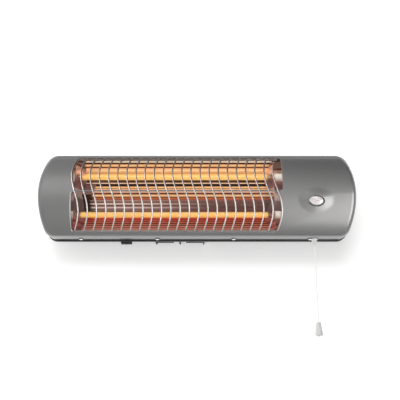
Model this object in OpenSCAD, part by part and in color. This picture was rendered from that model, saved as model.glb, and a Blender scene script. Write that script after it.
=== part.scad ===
// Electric bar heater for a wall: two quartz tubes glow in fluted reflectors behind a guard of waved
// wires, in a curved steel housing that tilts on a wall bracket. A cord below it works the switch.
// The wall is the plane y = 0, the front faces -Y, Z points up, and all lengths are in millimetres.

/* [Housing] */
// Width over the rounded ends
body_w = 544; // [500:1:640]
// Height of the housing
body_h = 146; // [142:1:156]
// Depth of the front cover, from its crown to its back edge
cover_d = 62; // [58:1:72]
// Radius of the curved front
crown_r = 108; // [104:1:120]
// Radius of the rolled edges at the top and bottom
edge_r = 8; // [6:0.5:9]
// Radius of the arc at each end of the housing
end_r = 200; // [170:1:240]
// Radius of the corners, seen from the front
corner_r = 16; // [14:0.5:22]
// Radius of the roll between the front and the end walls
roll_r = 9; // [5:0.5:10]
// Thickness of the pressed sheet
sheet_t = 1; // [0.8:0.1:1.3]
// Depth of the back panel's black rim
rim_d = 8; // [5:0.5:9]
// How far the rim stands out past the cover
rim_out = 1.5; // [0.8:0.1:2]
// Depth of the back panel's tray behind its rim
tray_d = 12; // [10:0.5:16]
// How far the tray's walls stand in from the outline
tray_in = 12; // [10:0.5:13]
// Gap between the wall and the back panel
wall_gap = 22; // [21:1:30]

/* [Window and guard] */
// Width of the closed panel at the left end
left_panel = 58.7; // [54:0.1:62]
// Width of the closed panel at the right end, with the lamp
right_panel = 126; // [118:0.5:128]
// Height of the strip above and below the windows
window_rim = 7; // [6:0.5:10]
// Height of the bar between the upper and lower window
bar_h = 2.6; // [2:0.1:4]
// Diameter of a guard wire
wire_d = 2.2; // [1.8:0.1:2.6]
// Number of guard wires
wire_count = 23; // [20:1:26]
// Distance of the first wire from the window's left edge
first_wire_in = 5.3; // [4.5:0.1:6]
// Distance of the last wire from the window's right edge
last_wire_in = 8.6; // [8:0.1:9.4]
// Swing of the wave in each wire, to either side
wave_a = 6.9; // [4:0.1:7.4]
// Length of one wave along the curved front
wave_l = 136; // [130:1:142]
// Diameter of the hidden rails that carry the wires
rail_d = 3; // [2.4:0.1:3.4]

/* [Tubes and reflectors] */
// Outer diameter of a quartz tube
tube_d = 10; // [9:0.5:12]
// Wall of a quartz tube
tube_wall = 1; // [0.8:0.1:1.2]
// How far each tube stands outward of its reflector's middle
tube_up = 2.6; // [1:0.1:3.5]
// Depth of the tubes behind the crown
tube_in = 34; // [32:0.5:38]
// Distance of the reflectors from the window's left edge
reflector_left_in = 14.3; // [14:0.1:18]
// Distance of the reflectors from the window's right edge
reflector_right_in = 26; // [25:0.5:30]
// How far the glowing coil runs past each end of the reflectors
coil_out = 3.5; // [2:0.1:5]
// Diameter of the wound coil
coil_d = 6.4; // [5:0.1:7]
// Diameter of a ceramic cap
cap_d = 13.4; // [13:0.1:15]
// Length of a ceramic cap
cap_l = 18; // [16:0.5:20]
// Depth of a reflector's floor behind the crown
trough_in = 56; // [52:1:58]
// Depth of the ridge between the reflectors behind the crown
ridge_in = 21; // [18:0.5:24]
// Gap from the front's curve to the outer edge of a reflector
lip_gap = 9.4; // [8.5:0.1:12]
// Height of a flute in a reflector
flute_h = 0.9; // [0.5:0.1:1.2]
// Thickness of the reflector sheet
foil_t = 0.6; // [0.5:0.1:0.8]

/* [Switch and lamp] */
// Distance of the pull cord from the housing's right end
cord_out = 67; // [60:0.5:67.5]
// Depth of the pull cord behind the crown
cord_in = 52; // [51:0.5:52.5]
// Diameter of the pull cord
cord_d = 1.8; // [1.5:0.1:2.2]
// Travel of the pull switch
pull_travel = 10; // [8:0.5:12]
// Length of the knob on the cord
knob_l = 22.5; // [20:0.5:26]
// Diameter of the knob at its foot
knob_d = 12.8; // [11:0.1:15]
// Distance of the lamp from the housing's right end
lamp_out = 70.5; // [66:0.5:76]
// Height of the lamp, below the middle
lamp_z = -15.5; // [-18:0.5:-12]
// Width of the lamp's oval lens
lens_w = 24; // [20:0.5:25]
// Height of the lamp's oval lens
lens_h = 16; // [13:0.5:17]

/* [Wall bracket] */
// Middle of the bracket along the housing
bracket_x = -31; // [-40:1:-20]
// Width of the wall plate
plate_w = 150; // [140:1:180]
// Height of the wall plate's top above the housing's middle
plate_top = 10; // [8:1:20]
// Thickness of the wall plate and its ears
plate_t = 2.5; // [2:0.1:3]
// Distance between the two wall screws
screw_span = 120; // [100:1:124]
// Width of the slots for the wall screws
slot_w = 5; // [4.5:0.1:6]
// Length of the slots for the wall screws
slot_l = 12; // [10:0.5:16]
// Diameter of the hinge pin
pin_d = 5; // [4:0.1:6]
// Length of each hinge barrel
barrel_l = 30; // [24:0.5:32]
// Height of the hinge above the housing's lower edge
hinge_up = 5; // [4:0.5:6]

/* [Hidden] */

// Overrun of every cut
over = 1;
// Running clearance of the hinge pin in its barrels
run_gap = 0.06;
// Clearance between pieces that stand beside each other
fit_gap = 0.3;
// Clearance between pieces that seat on each other
seat_gap = 0.1;
// Smoothness of round pieces
$fn = 48;

// Planes of the housing, counted from the wall
back_y = -wall_gap;
rim_y = back_y - tray_d;
cover_y = rim_y - rim_d;
crown_y = cover_y - cover_d;
half_h = body_h / 2;
half_w = body_w / 2;

// Centre line of the front's curve, and of the rolled edges
crown_c_y = crown_y + crown_r;
edge_c_z = half_h - edge_r;
edge_c_y = crown_c_y - sqrt(pow(crown_r - edge_r, 2) - pow(edge_c_z, 2));

// Centres of the end arcs and of the corners, whose arcs pass just beyond the flats
corner_up = 0.4;
end_c_x = half_w - end_r;
corner_c_z = half_h + corner_up - corner_r;
corner_c_x = end_c_x + sqrt(pow(end_r - corner_r, 2) - pow(corner_c_z, 2));

// Inner height of the tray, whose outline keeps the corners' lift
tray_half_h = half_h + corner_up - tray_in;

// Place of the hinge, of the tubes, of the cord and of the lamp
hinge_y = -16;
hinge_z = hinge_up - half_h;
plate_h = plate_top - hinge_z;
tube_y = crown_y + tube_in;
cord_y = crown_y + cord_in;
cord_x = half_w - cord_out;
lamp_x = half_w - lamp_out;

// How many radii a wedge reaches, to pass its arc
reach_share = 2;

// Depth of the front's curve at a height, counted from the crown
function drop(z) = crown_r - sqrt(pow(crown_r, 2) - pow(z, 2));
// Angle along the front's curve of an arc length
function arc_angle(l) = l / crown_r * 180 / PI;

// Window edges, counted from the housing's middle
window_left = half_w - left_panel;
window_right = half_w - right_panel;
window_h = body_h - 2 * window_rim;

// Guard: the wires stand just proud of the cover and dive under its edges to the rails
wave_angle = arc_angle(wave_l);
window_angle = asin(window_h / 2 / crown_r);
proud_r = crown_r + wire_d / 2 + seat_gap;
wire_in_r = crown_r - sheet_t - seat_gap - wire_d / 2;
rail_r = wire_in_r - wire_d / 2 - rail_d / 2 - seat_gap / 2;
dive_l = 5;
wire_end_l = 2.6;
dive_angle = window_angle - arc_angle(dive_l);
dive_end_angle = window_angle - arc_angle(seat_gap);
rail_angle = window_angle + arc_angle(wire_end_l - wire_d / 2);
wire_half_steps = 6;
dive_shares = [0.35, 0.7, 1];
wire_sides = 6;
first_wire_x = first_wire_in - window_left;
last_wire_x = window_right - last_wire_in;
wire_pitch = (last_wire_x - first_wire_x) / (wire_count - 1);
edge_out = 1.5;
rail_end_l = 4;

// Sideways swing of the guard's wave at an angle of the front's curve
function wave(a) = -wave_a * sin(360 * a / wave_angle);
// Angle of the front's curve at a height
function height_angle(z) = asin(z / crown_r);
// Distance of a wire from the curve's centre line: it eases from proud of the cover to the rail
function ease(s) = s * s * (3 - 2 * s);
function wire_r(a) = abs(a) <= dive_angle ? proud_r
    : proud_r - (proud_r - wire_in_r) * ease(min(1, (abs(a) - dive_angle) / (dive_end_angle - dive_angle)));

// Window corners and its steps along the waved edges
window_corner_r = 4;
edge_steps = 12;

// Reflectors, their slanted end plates and the brackets that carry the tubes
flute_steps = 6;
ridge_half = 0.8;
edge_in = 11;
trough_edge_z = half_h - edge_in;
floor_half = 3;
tube_z = (ridge_half + trough_edge_z) / 2 + tube_up;
lip_in = drop(trough_edge_z) + lip_gap;
reflector_l = window_left + window_right - reflector_left_in - reflector_right_in;
tube_x = (window_right - reflector_right_in - window_left + reflector_left_in) / 2;
coil_l = reflector_l + 2 * coil_out;
web_t = 1.2;
curve_power = 1.6;
trough_y = crown_y + trough_in;
slant_w = 13;
slant_in = 25;
floor_under = 10;
floor_gap = 0.2;
web_out = 33.5;
web_x = reflector_l / 2 + web_out;
web_front_in = 26;
web_end_in = 14;
web_half_h = half_h - web_end_in;
bracket_gap = 6;
foot_l = 12;
tube_hole_d = 12.4;

// Ceramic caps and their clips
socket_l = 8;
lead_hole_d = 3;
neck_d = 8;
neck_l = 7;
clip_d = 12;
clip_t = 1;
clip_mouth = 6;
clip_gap = 0.1;
quartz_fit = 0.15;
cap_out = 15;
cap_in_x = reflector_l / 2 + cap_out;
coil_tail_d = 1.6;
neck_gap = 0.3;

// Cover screws, their lugs and the raised boss round the lamp
first_screw_in = 69.8;
last_screw_in = 75.2;
screw_count = 4;
screw_pitch = (body_w - first_screw_in - last_screw_in) / (screw_count - 1);
screw_in = 49;
screw_d = 3;
screw_head_d = 6;
screw_head_h = 2.4;
screw_dome_r = 3.6;
lug_w = 7;
lug_t = 2.4;
screw_l = sheet_t + lug_t + seat_gap;
rim_lip = 5;
boss_w = 62;
boss_h = 44;
boss_rise = 2.5;
boss_flat = 0.35;
boss_rings = 7;
boss_sides = 24;
boss_reach = 1.1;
boss_depth = 0.5;
lamp_tilt = asin(lamp_z / crown_r);
bezel_w = 1.6;
bezel_back = -2.8;
bezel_front = 5;
lens_back = 2;
lens_rise = 6.5;
lens_dome_r = 34;
holder_d = 14;
holder_l = 15;
neon_d = 6;
neon_l = 12;
neon_fit = 0.2;

// Pull switch
switch_w = 30;
switch_dep = 18;
switch_h = 44;
switch_wall = 3;
cavity_w = 11;
slider_h = 8;
slider_top = 1;
stem_d = 2.4;
bush_d = 9;
bush_flange_d = 11;
bush_flange_h = 2;
bush_nose_l = 10.6;
bush_nose_d = 7.4;
bush_bore_d = 4;
spring_d = 8;
spring_wire = 1;
spring_curls = 6;
spring_rings = 8;
spring_sides = 6;
terminal_w = 5;
terminal_t = 0.8;
terminal_l = 9;
terminal_pitch = 12;

// Route of the pull cord: [x, y, z] from its top, straight down to the knob
cord_points = [[0, 0, 0], [0, 0, -4], [0, 0, -8], [0, 0, -13], [0, 0, -18], [0, 0, -23], [0, 0, -28],
    [0, 0, -33], [0, 0, -38], [0, 0, -43], [0, 0, -48], [0, 0, -53], [0, 0, -58], [0, 0, -63],
    [0, 0, -68], [0, 0, -73], [0, 0, -78], [0, 0, -83], [0, 0, -88], [0, 0, -93], [0, 0, -98],
    [0, 0, -103], [0, 0, -108], [0, 0, -113], [0, 0, -118], [0, 0, -123], [0, 0, -128], [0, 0, -133]];
cord_l = 129.5;
cord_gap = 0.5;
cord_sides = 8;
knob_top_d = 5.6;
knob_nub_d = 5;
knob_nub_l = 2.5;
knob_hole_gap = 0.05;
knob_waist_d = 7.2;
knob_waist_l = 11;
knob_grooves = 6;
knob_groove_d = 0.9;

// Terminal block, cable gland, earth stud, leads and rivets
block_out = 85;
block_x = half_w - block_out;
block_down = 39;
block_z = half_h - block_down;
block_w = 34;
block_h = 20;
block_dep = 9;
block_poles = 3;
block_pitch = 10;
block_screw_d = 4;
block_screw_h = 4;
screw_slot_w = 0.8;
screw_slot_h = 0.7;
gland_out = 146;
gland_x = gland_out - half_w;
gland_w = 19;
gland_dep = 11;
gland_l = 16;
gland_bore_d = 6;
gland_neck_d = 8;
gland_neck_l = 6;
gland_nut_d = 10.2;
gland_nut_l = 3;
earth_out = 42;
earth_x = half_w - earth_out;
earth_down = 43;
earth_z = half_h - earth_down;
earth_d = 4;
earth_l = 10;
earth_nut_d = 8;
earth_nut_h = 3;
lead_d = 2;
lead_sides = 6;
rivet_d = 4;
rivet_head_d = 7;
rivet_head_h = 1.2;

// Wall bracket and hinge
ear_t = plate_t;
ear_gap = 0.5;
ear_r = 6;
barrel_r = 5;
barrel_pitch = 52;
barrel_foot_w = 24;
barrel_foot_h = 18;
barrel_foot_t = 1.5;
foot_rivet_in = 5;
pin_end_l = 7;
pin_head_l = 2;
pin_head_d = 9;
nut_d = 11;
nut_h = 6;
wing_l = 11;
wing_t = 2.2;
wing_h = 9;
slot_z = -12;
vent_count = 14;
vent_w = 4;
vent_h = 24;
vent_pitch = 13;
vent_down = 39;
vent_z = half_h - vent_down;

// Extrudes a (y, z) profile along X, from x0 over a length
module along_x(x0, l) {
    translate([x0, 0, 0]) rotate([90, 0, 90]) linear_extrude(l) children();
}

// Extrudes an (x, z) outline along Y, from y0 towards the wall over a length
module along_y(y0, l) {
    translate([0, y0 + l, 0]) rotate([90, 0, 0]) linear_extrude(l) children();
}

// Cylinder along X
module rod_x(x0, l, d) {
    translate([x0, 0, 0]) rotate([0, 90, 0]) cylinder(h = l, d = d);
}

// Cylinder along Y, towards the wall
module rod_y(y0, l, d) {
    translate([0, y0, 0]) rotate([-90, 0, 0]) cylinder(h = l, d = d);
}

// Side profile of the housing: crown arc, rolled edges and flat top and bottom, drawn in by inset
module side_profile(inset, back) {
    intersection() {
        translate([crown_c_y, 0]) circle(r = crown_r - inset, $fn = 160);
        polygon([[edge_c_y, edge_c_z],
            [crown_c_y + reach_share * (edge_c_y - crown_c_y), reach_share * edge_c_z],
            [crown_c_y + reach_share * (edge_c_y - crown_c_y), -reach_share * edge_c_z],
            [edge_c_y, -edge_c_z]]);
    }
    for (s = [-1, 1]) translate([edge_c_y, s * edge_c_z]) circle(r = edge_r - inset);
    translate([edge_c_y, inset - half_h]) square([back - edge_c_y, body_h - 2 * inset]);
}

// Outline of the housing from the front: end arcs and rounded corners, drawn in by inset
module front_outline(inset) {
    for (s = [0, 1]) mirror([s, 0]) {
        intersection() {
            translate([end_c_x, 0]) circle(r = end_r - inset, $fn = 200);
            polygon([[corner_c_x, corner_c_z],
                [end_c_x + reach_share * (corner_c_x - end_c_x), reach_share * corner_c_z],
                [end_c_x + reach_share * (corner_c_x - end_c_x), -reach_share * corner_c_z],
                [corner_c_x, -corner_c_z]]);
        }
        for (t = [-1, 1]) translate([corner_c_x, t * corner_c_z]) circle(r = corner_r - inset);
    }
    translate([-corner_c_x, inset - corner_c_z - corner_r])
        square([2 * corner_c_x, 2 * (corner_c_z + corner_r - inset)]);
}

// Ring that cuts the roll between the front and one end wall, drawn in by inset
module end_roll_cut(inset) {
    r = roll_r - inset;
    intersection() {
        translate([end_c_x, crown_y + inset, 0]) rotate([-90, 0, 0]) rotate_extrude($fn = 200)
            difference() {
                translate([end_r - inset - r, -over]) square([r + over, r + over]);
                translate([end_r - inset - r, r]) circle(r = r);
            }
        translate([corner_c_x - roll_r, crown_y - over, -half_h])
            cube([half_w - corner_c_x + 2 * roll_r, roll_r + 2 * over, body_h]);
    }
}

// Solid form of the front cover, drawn in by inset and open to the given plane at the back
module cover_form(inset, back) {
    difference() {
        along_x(-half_w - over, body_w + 2 * over) side_profile(inset, back);
        along_y(crown_y - over, back - crown_y + 2 * over) difference() {
            square([body_w + 4 * over, body_h + 4 * over], center = true);
            front_outline(inset);
        }
        end_roll_cut(inset);
        mirror([1, 0, 0]) end_roll_cut(inset);
    }
}

// Puts children on the front's surface at the lamp, with their Z axis pointing out of it
module at_lamp() {
    translate([lamp_x, crown_c_y, 0]) rotate([-lamp_tilt, 0, 0]) translate([0, -crown_r, 0])
        rotate([90, 0, 0]) children();
}

// Window outlines: the upper left and the lower right edge follow the outermost wires
module upper_window() {
    z0 = bar_h / 2;
    z1 = window_h / 2;
    difference() {
        polygon(concat(
            [for (i = [0:edge_steps]) let (z = z0 + (z1 - z0) * i / edge_steps)
                [first_wire_x + edge_out + wave(height_angle(z)), z]],
            [[window_right, z1], [window_right, z0]]));
        translate([window_right, z1]) corner_fill();
        translate([window_right, z0]) mirror([0, 1]) corner_fill();
    }
}
module lower_window() {
    z0 = -bar_h / 2;
    z1 = -window_h / 2;
    difference() {
        polygon(concat(
            [for (i = [0:edge_steps]) let (z = z0 + (z1 - z0) * i / edge_steps)
                [last_wire_x - edge_out + wave(height_angle(z)), z]],
            [[-window_left, z1], [-window_left, z0]]));
        translate([-window_left, z1]) mirror([1, 0]) mirror([0, 1]) corner_fill();
        translate([-window_left, z0]) mirror([1, 0]) corner_fill();
    }
}

// Metal left in a window's corner, up and to the right of its round
module corner_fill() {
    r = window_corner_r;
    translate([-r, -r]) difference() {
        square(r + over);
        circle(r = r);
    }
}

// Notch in the cover where an outermost wire dives under it; t is 1 at the top and -1 at the bottom
module wire_notch(x, t) {
    w = wire_d / 2 + fit_gap;
    z0 = crown_r * sin(dive_angle) - fit_gap;
    z1 = window_h / 2;
    polygon([for (p = [[z0, -w], [z1, -w], [z1, edge_out + over], [z0, edge_out + over]])
        [x + wave(t * height_angle(p[0])) + t * p[1], t * p[0]]]);
}

// Places of the cover's screws along the housing
function screw_x(i) = first_screw_in - half_w + i * screw_pitch;

// Oval of the lamp, drawn out by grow
module oval(grow) {
    square([lens_w - lens_h, lens_h + 2 * grow], center = true);
    for (s = [-1, 1]) translate([s * (lens_w - lens_h) / 2, 0]) circle(r = lens_h / 2 + grow);
}

// Tube swept along points: rings of a radius, square to the path, with a reference side
function unit(v) = v / norm(v);
function path_dir(p, i) = unit(p[min(i + 1, len(p) - 1)] - p[max(i - 1, 0)]);
function ring(c, t, side, r, n) = let (u = unit(cross(t, side)), w = cross(u, t))
    [for (k = [0:n - 1]) c + r * (cos(360 * k / n) * u + sin(360 * k / n) * w)];
module sweep(p, r, n, side) {
    m = len(p);
    pts = [for (i = [0:m - 1]) each ring(p[i], path_dir(p, i), side, r, n)];
    walls = [for (i = [0:m - 2]) for (k = [0:n - 1]) let (a = i * n + k, b = i * n + (k + 1) % n)
        each [[a, a + n, b + n], [a, b + n, b]]];
    ends = [[for (k = [0:n - 1]) k], [for (k = [n - 1:-1:0]) (m - 1) * n + k]];
    polyhedron(points = pts, faces = concat(walls, ends));
}

// Swelling of the front round the lamp: an oval rise over the curve, drawn in by inset
function boss_rise_at(s) = boss_rise * (1 - s * s) * (1 - boss_flat * s * s);
function boss_point(s, k, r) = let (a = lamp_tilt + arc_angle(boss_h / 2 * s * sin(360 * k / boss_sides)))
    [lamp_x + boss_w / 2 * s * cos(360 * k / boss_sides), crown_c_y - r * cos(a), r * sin(a)];
module boss(inset) {
    n = boss_sides;
    m = boss_rings;
    r_in = crown_r - inset - boss_depth - boss_rise;
    top = [for (i = [1:m]) each [for (k = [0:n - 1]) let (s = boss_reach * i / m)
        boss_point(s, k, crown_r - inset + boss_rise_at(s))]];
    base = [for (k = [0:n - 1]) boss_point(boss_reach, k, r_in)];
    peak = m * n + n;
    polyhedron(
        points = concat(top, base, [boss_point(0, 0, crown_r - inset + boss_rise), boss_point(0, 0, r_in)]),
        faces = concat(
            [for (k = [0:n - 1]) [peak, (k + 1) % n, k]],
            [for (i = [0:m - 1]) for (k = [0:n - 1]) let (a = i * n + k, b = i * n + (k + 1) % n)
                each [[a, b + n, a + n], [a, b, b + n]]],
            [for (k = [0:n - 1]) [peak + 1, m * n + k, m * n + (k + 1) % n]]));
}

// Front cover: pressed steel shell with the windows, the lamp's boss and the screw holes
module front_cover() {
    color("silver") difference() {
        union() {
            cover_form(0, cover_y);
            boss(0);
        }
        union() {
            cover_form(sheet_t, cover_y + over);
            boss(sheet_t);
        }
        along_y(crown_y - over, cover_d / 2) {
            upper_window();
            lower_window();
            wire_notch(first_wire_x, 1);
            wire_notch(last_wire_x, -1);
        }
        at_lamp() translate([0, 0, -lens_back]) linear_extrude(lens_back + boss_rise + over) oval(fit_gap);
        translate([cord_x, cord_y, -half_h - over]) cylinder(h = sheet_t + 2 * over, d = bush_d + 2 * fit_gap);
        for (i = [0:screw_count - 1], t = [0, 1]) mirror([0, 0, t])
            translate([screw_x(i), crown_y + screw_in, half_h - sheet_t - over])
            cylinder(h = sheet_t + 2 * over, d = screw_d + 2 * seat_gap);
    }
}

// Screws through the top and bottom lips of the cover into the back panel's lugs
module cover_screws() {
    color("silver") for (i = [0:screw_count - 1], t = [0, 1]) mirror([0, 0, t])
        translate([screw_x(i), crown_y + screw_in, half_h]) difference() {
            union() {
                translate([0, 0, seat_gap - screw_l]) cylinder(h = screw_l, d = screw_d);
                translate([0, 0, seat_gap]) intersection() {
                    cylinder(h = screw_head_h, d = screw_head_d);
                    translate([0, 0, screw_head_h - screw_dome_r]) sphere(r = screw_dome_r);
                }
            }
            for (a = [0, 90]) rotate([0, 0, a])
                translate([-screw_head_d / 4, -screw_slot_w / 2, seat_gap + screw_head_h - screw_slot_h])
                cube([screw_head_d / 2, screw_slot_w, screw_slot_h + over]);
        }
}

// Back panel: black rim round the cover's edge, tray behind it, lugs for the screws and vents
module back_panel() {
    rim_front = cover_y + seat_gap;
    color("#1b1b1b") difference() {
        union() {
            along_y(rim_front, rim_y - rim_front) front_outline(-rim_out);
            along_y(rim_y - sheet_t, tray_d + sheet_t) front_outline(tray_in);
            for (i = [0:screw_count - 1], t = [0, 1]) mirror([0, 0, t]) lug(i);
        }
        along_y(rim_front - over, rim_y - sheet_t - rim_front + over) front_outline(rim_lip);
        along_y(rim_front + sheet_t, rim_y - rim_front - 2 * sheet_t) front_outline(sheet_t - rim_out);
        along_y(rim_y - 2 * sheet_t, tray_d + sheet_t) front_outline(tray_in + sheet_t);
        for (i = [0:vent_count - 1]) along_y(back_y - 2 * sheet_t, 3 * sheet_t)
            translate([bracket_x + (i - (vent_count - 1) / 2) * vent_pitch - vent_w / 2, vent_z - vent_h / 2])
            square([vent_w, vent_h]);
        for (i = [0:screw_count - 1], t = [0, 1]) mirror([0, 0, t])
            translate([screw_x(i), crown_y + screw_in, half_h - screw_l - over])
            cylinder(h = screw_l + over, d = screw_d + 2 * seat_gap);
        for (x = rivet_places()) translate([x, 0, rivet_z])
            rod_y(back_y - tray_d / 2, tray_d, rivet_d + 2 * seat_gap);
        translate([gland_x, gland_y, -half_h])
            cylinder(h = half_h - tray_half_h + 2 * sheet_t, d = gland_neck_d + 2 * seat_gap);
        translate([earth_x, 0, earth_z]) rod_y(back_y - 2 * sheet_t, 3 * sheet_t, earth_d + 2 * seat_gap);
    }
}

// Lug inside the cover's lip that takes one screw
module lug(i) {
    z1 = half_h - sheet_t - seat_gap;
    translate([screw_x(i) - lug_w / 2, crown_y + screw_in - lug_w / 2, z1 - lug_t])
        cube([lug_w, cover_y + seat_gap + sheet_t - crown_y - screw_in + lug_w / 2, lug_t]);
    translate([screw_x(i) - lug_w / 2, cover_y + seat_gap, half_h - rim_lip - over])
        cube([lug_w, sheet_t, rim_lip + over]);
}

// Guard wire number k, waved along the front and tucked under the cover at both ends
function wire_angles() = concat(
    [-window_angle - arc_angle(wire_end_l)],
    [for (i = [len(dive_shares) - 1:-1:0]) -dive_angle - (dive_end_angle - dive_angle) * dive_shares[i]],
    [for (i = [-wire_half_steps:wire_half_steps]) dive_angle * i / wire_half_steps],
    [for (s = dive_shares) dive_angle + (dive_end_angle - dive_angle) * s],
    [window_angle + arc_angle(wire_end_l)]);
function wire_point(k, a) = [first_wire_x + k * wire_pitch + wave(a),
    crown_c_y - wire_r(a) * cos(a), wire_r(a) * sin(a)];
module guard_wires() {
    color("silver") for (k = [0:wire_count - 1])
        sweep([for (a = wire_angles()) wire_point(k, a)], wire_d / 2, wire_sides, [1, 0, 0]);
}

// Hidden rails that the guard wires are welded to
module guard_rails() {
    l = last_wire_x - first_wire_x + 2 * rail_end_l;
    color("silver") for (t = [-1, 1])
        translate([0, crown_c_y - rail_r * cos(rail_angle), t * rail_r * sin(rail_angle)])
        rod_x(first_wire_x - rail_end_l, l, rail_d);
}

// Half profile of a reflector in (y, z), from the ridge or the outer edge down to the floor
function slope_point(z_edge, y_edge, s) = let (e = 1 - pow(1 - s, curve_power))
    [y_edge + (trough_y - y_edge) * e, z_edge + (floor_edge(z_edge) - z_edge) * s];
function floor_edge(z_edge) = z_edge < tube_z ? tube_z - floor_half : tube_z + floor_half;
function fluted(z_edge, y_edge) = [for (i = [0:2 * flute_steps])
    slope_point(z_edge, y_edge, i / (2 * flute_steps)) - [i % 2 == 0 ? 0 : flute_h, 0]];
function reflector_line() = concat(fluted(ridge_half, crown_y + ridge_in),
    [for (i = [2 * flute_steps:-1:0]) fluted(trough_edge_z, crown_y + lip_in)[i]]);
module reflector() {
    p = reflector_line();
    n = len(p);
    along_x(tube_x - reflector_l / 2, reflector_l)
        polygon(concat(p, [for (i = [n - 1:-1:0]) p[i] + [foil_t, 0]]));
}
module upper_reflector() {
    color("orange") reflector();
}
module lower_reflector() {
    color("orange") mirror([0, 0, 1]) reflector();
}

// End bracket: slanted plate at the reflectors' end, floor behind them, and web with the tube slots
module end_bracket() {
    x0 = reflector_l / 2;
    x1 = x0 + fit_gap;
    y0 = trough_y + foil_t + floor_gap;
    yf = back_y - sheet_t - seat_gap;
    translate([tube_x, 0, 0]) difference() {
        intersection() {
            translate([0, 0, -web_half_h]) linear_extrude(2 * web_half_h) union() {
                polygon([[x0 - floor_under, y0], [x1, y0], [x1 + slant_w, crown_y + slant_in],
                    [x1 + slant_w + web_t, crown_y + slant_in], [x1 + web_t, y0 + web_t / 2],
                    [web_x, y0], [web_x, y0 + web_t], [x0 - floor_under, y0 + web_t]]);
                translate([web_x, crown_y + web_front_in]) square([web_t, yf - crown_y - web_front_in]);
                translate([web_x, yf - web_t]) square([foot_l, web_t]);
            }
            translate([0, crown_c_y, 0]) rod_x(0, web_x + foot_l + over, 2 * (crown_r - bracket_gap));
        }
        translate([0, lead_y, lead_z]) rod_x(web_x - over, web_t + 2 * over, lead_d + 2 * neck_d / 4);
        for (t = [-1, 1]) translate([0, tube_y, t * tube_z]) {
            rod_x(x0 - over, slant_w + web_t + 2 * over, tube_hole_d);
            rod_x(web_x - over, web_t + 2 * over, neck_d + 2 * neck_gap);
            translate([web_x - over, -web_half_h, -neck_d / 2 - neck_gap])
                cube([web_t + 2 * over, web_half_h, neck_d + 2 * neck_gap]);
        }
    }
}
module right_end_bracket() {
    color("darkgray") end_bracket();
}
module left_end_bracket() {
    color("darkgray") translate([2 * tube_x, 0, 0]) mirror([1, 0, 0]) end_bracket();
}

// Quartz tubes, coils, caps and clips; t is 1 for the upper and -1 for the lower tube
module at_tube(t) {
    translate([tube_x, tube_y, t * tube_z]) children();
}
module quartz_tube() {
    l = 2 * (cap_in_x + socket_l - fit_gap);
    difference() {
        rod_x(-l / 2, l, tube_d);
        rod_x(-l / 2 - over, l + 2 * over, tube_d - 2 * tube_wall);
    }
}
module heating_coil() {
    rod_x(-coil_l / 2, coil_l, coil_d);
    for (s = [-1, 1]) rod_x(s > 0 ? coil_l / 2 - over : -cap_in_x - cap_l, cap_in_x + cap_l - coil_l / 2 + over,
        coil_tail_d);
}
module ceramic_caps() {
    for (s = [0, 1]) mirror([s, 0, 0]) difference() {
        union() {
            rod_x(cap_in_x, cap_l, cap_d);
            rod_x(cap_in_x + cap_l - over, neck_l + over, neck_d);
        }
        rod_x(cap_in_x - over, socket_l + over, tube_d + 2 * quartz_fit);
        rod_x(cap_in_x, cap_l + neck_l + over, lead_hole_d);
    }
}
module upper_quartz_tube() {
    color("ivory") at_tube(1) quartz_tube();
}
module lower_quartz_tube() {
    color("ivory") at_tube(-1) quartz_tube();
}
module upper_heating_coil() {
    color("gold") at_tube(1) heating_coil();
}
module lower_heating_coil() {
    color("gold") at_tube(-1) heating_coil();
}
module upper_ceramic_caps() {
    color("white") at_tube(1) ceramic_caps();
}
module lower_ceramic_caps() {
    color("white") at_tube(-1) ceramic_caps();
}

// Spring clips on the caps' necks, outside the webs
module tube_clips() {
    color("gray") for (t = [-1, 1], s = [0, 1]) at_tube(t) mirror([s, 0, 0]) difference() {
        rod_x(web_x + web_t + clip_gap, clip_t, clip_d);
        rod_x(web_x, 2 * clip_d, neck_d + 2 * clip_gap);
        translate([web_x, 0, -clip_mouth / 2]) cube([2 * clip_d, clip_d, clip_mouth]);
    }
}

// Lamp: domed lens, its bezel, the holder behind them and the neon lamp
module lamp_lens() {
    color("mistyrose") at_lamp() intersection() {
        translate([0, 0, -lens_back]) linear_extrude(lens_back + lens_rise + over) oval(0);
        translate([0, 0, lens_rise - lens_dome_r]) sphere(r = lens_dome_r, $fn = 96);
    }
}
module lamp_bezel() {
    color("whitesmoke") at_lamp() translate([0, 0, -bezel_back]) linear_extrude(bezel_back + bezel_front)
        difference() {
            oval(bezel_w);
            oval(seat_gap);
        }
}
module lamp_holder() {
    color("white") at_lamp() translate([0, 0, -lens_back - seat_gap - holder_l]) difference() {
        cylinder(h = holder_l, d = holder_d);
        translate([0, 0, switch_wall]) cylinder(h = holder_l, d = neon_d + 2 * neon_fit);
    }
}
module neon_lamp() {
    color("orange") at_lamp() translate([0, 0, switch_wall + seat_gap - lens_back - holder_l]) union() {
        cylinder(h = neon_l - neon_d, d = neon_d);
        translate([0, 0, neon_l - neon_d]) sphere(d = neon_d);
    }
}

// Switch body in the cover's lower edge, open at its front
switch_z = sheet_t + lug_t + 2 * seat_gap - half_h;
module switch_body() {
    color("ivory") translate([cord_x, cord_y, switch_z]) difference() {
        translate([-switch_w / 2, -switch_dep / 2, 0]) cube([switch_w, switch_dep, switch_h]);
        translate([-cavity_w / 2, -switch_dep / 2 - over, switch_wall])
            cube([cavity_w, switch_dep / 2 + cavity_w / 2 + over, switch_h - 2 * switch_wall]);
        translate([0, 0, -over]) cylinder(h = switch_wall + 2 * over, d = bush_d + 2 * seat_gap);
        for (s = [-1, 1]) translate([s * terminal_pitch / 2 - terminal_w / 2 - seat_gap, cavity_w / 2 - over,
            switch_h / 2 - terminal_t / 2 - seat_gap])
            cube([terminal_w + 2 * seat_gap, switch_dep, terminal_t + 2 * seat_gap]);
    }
}

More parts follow.
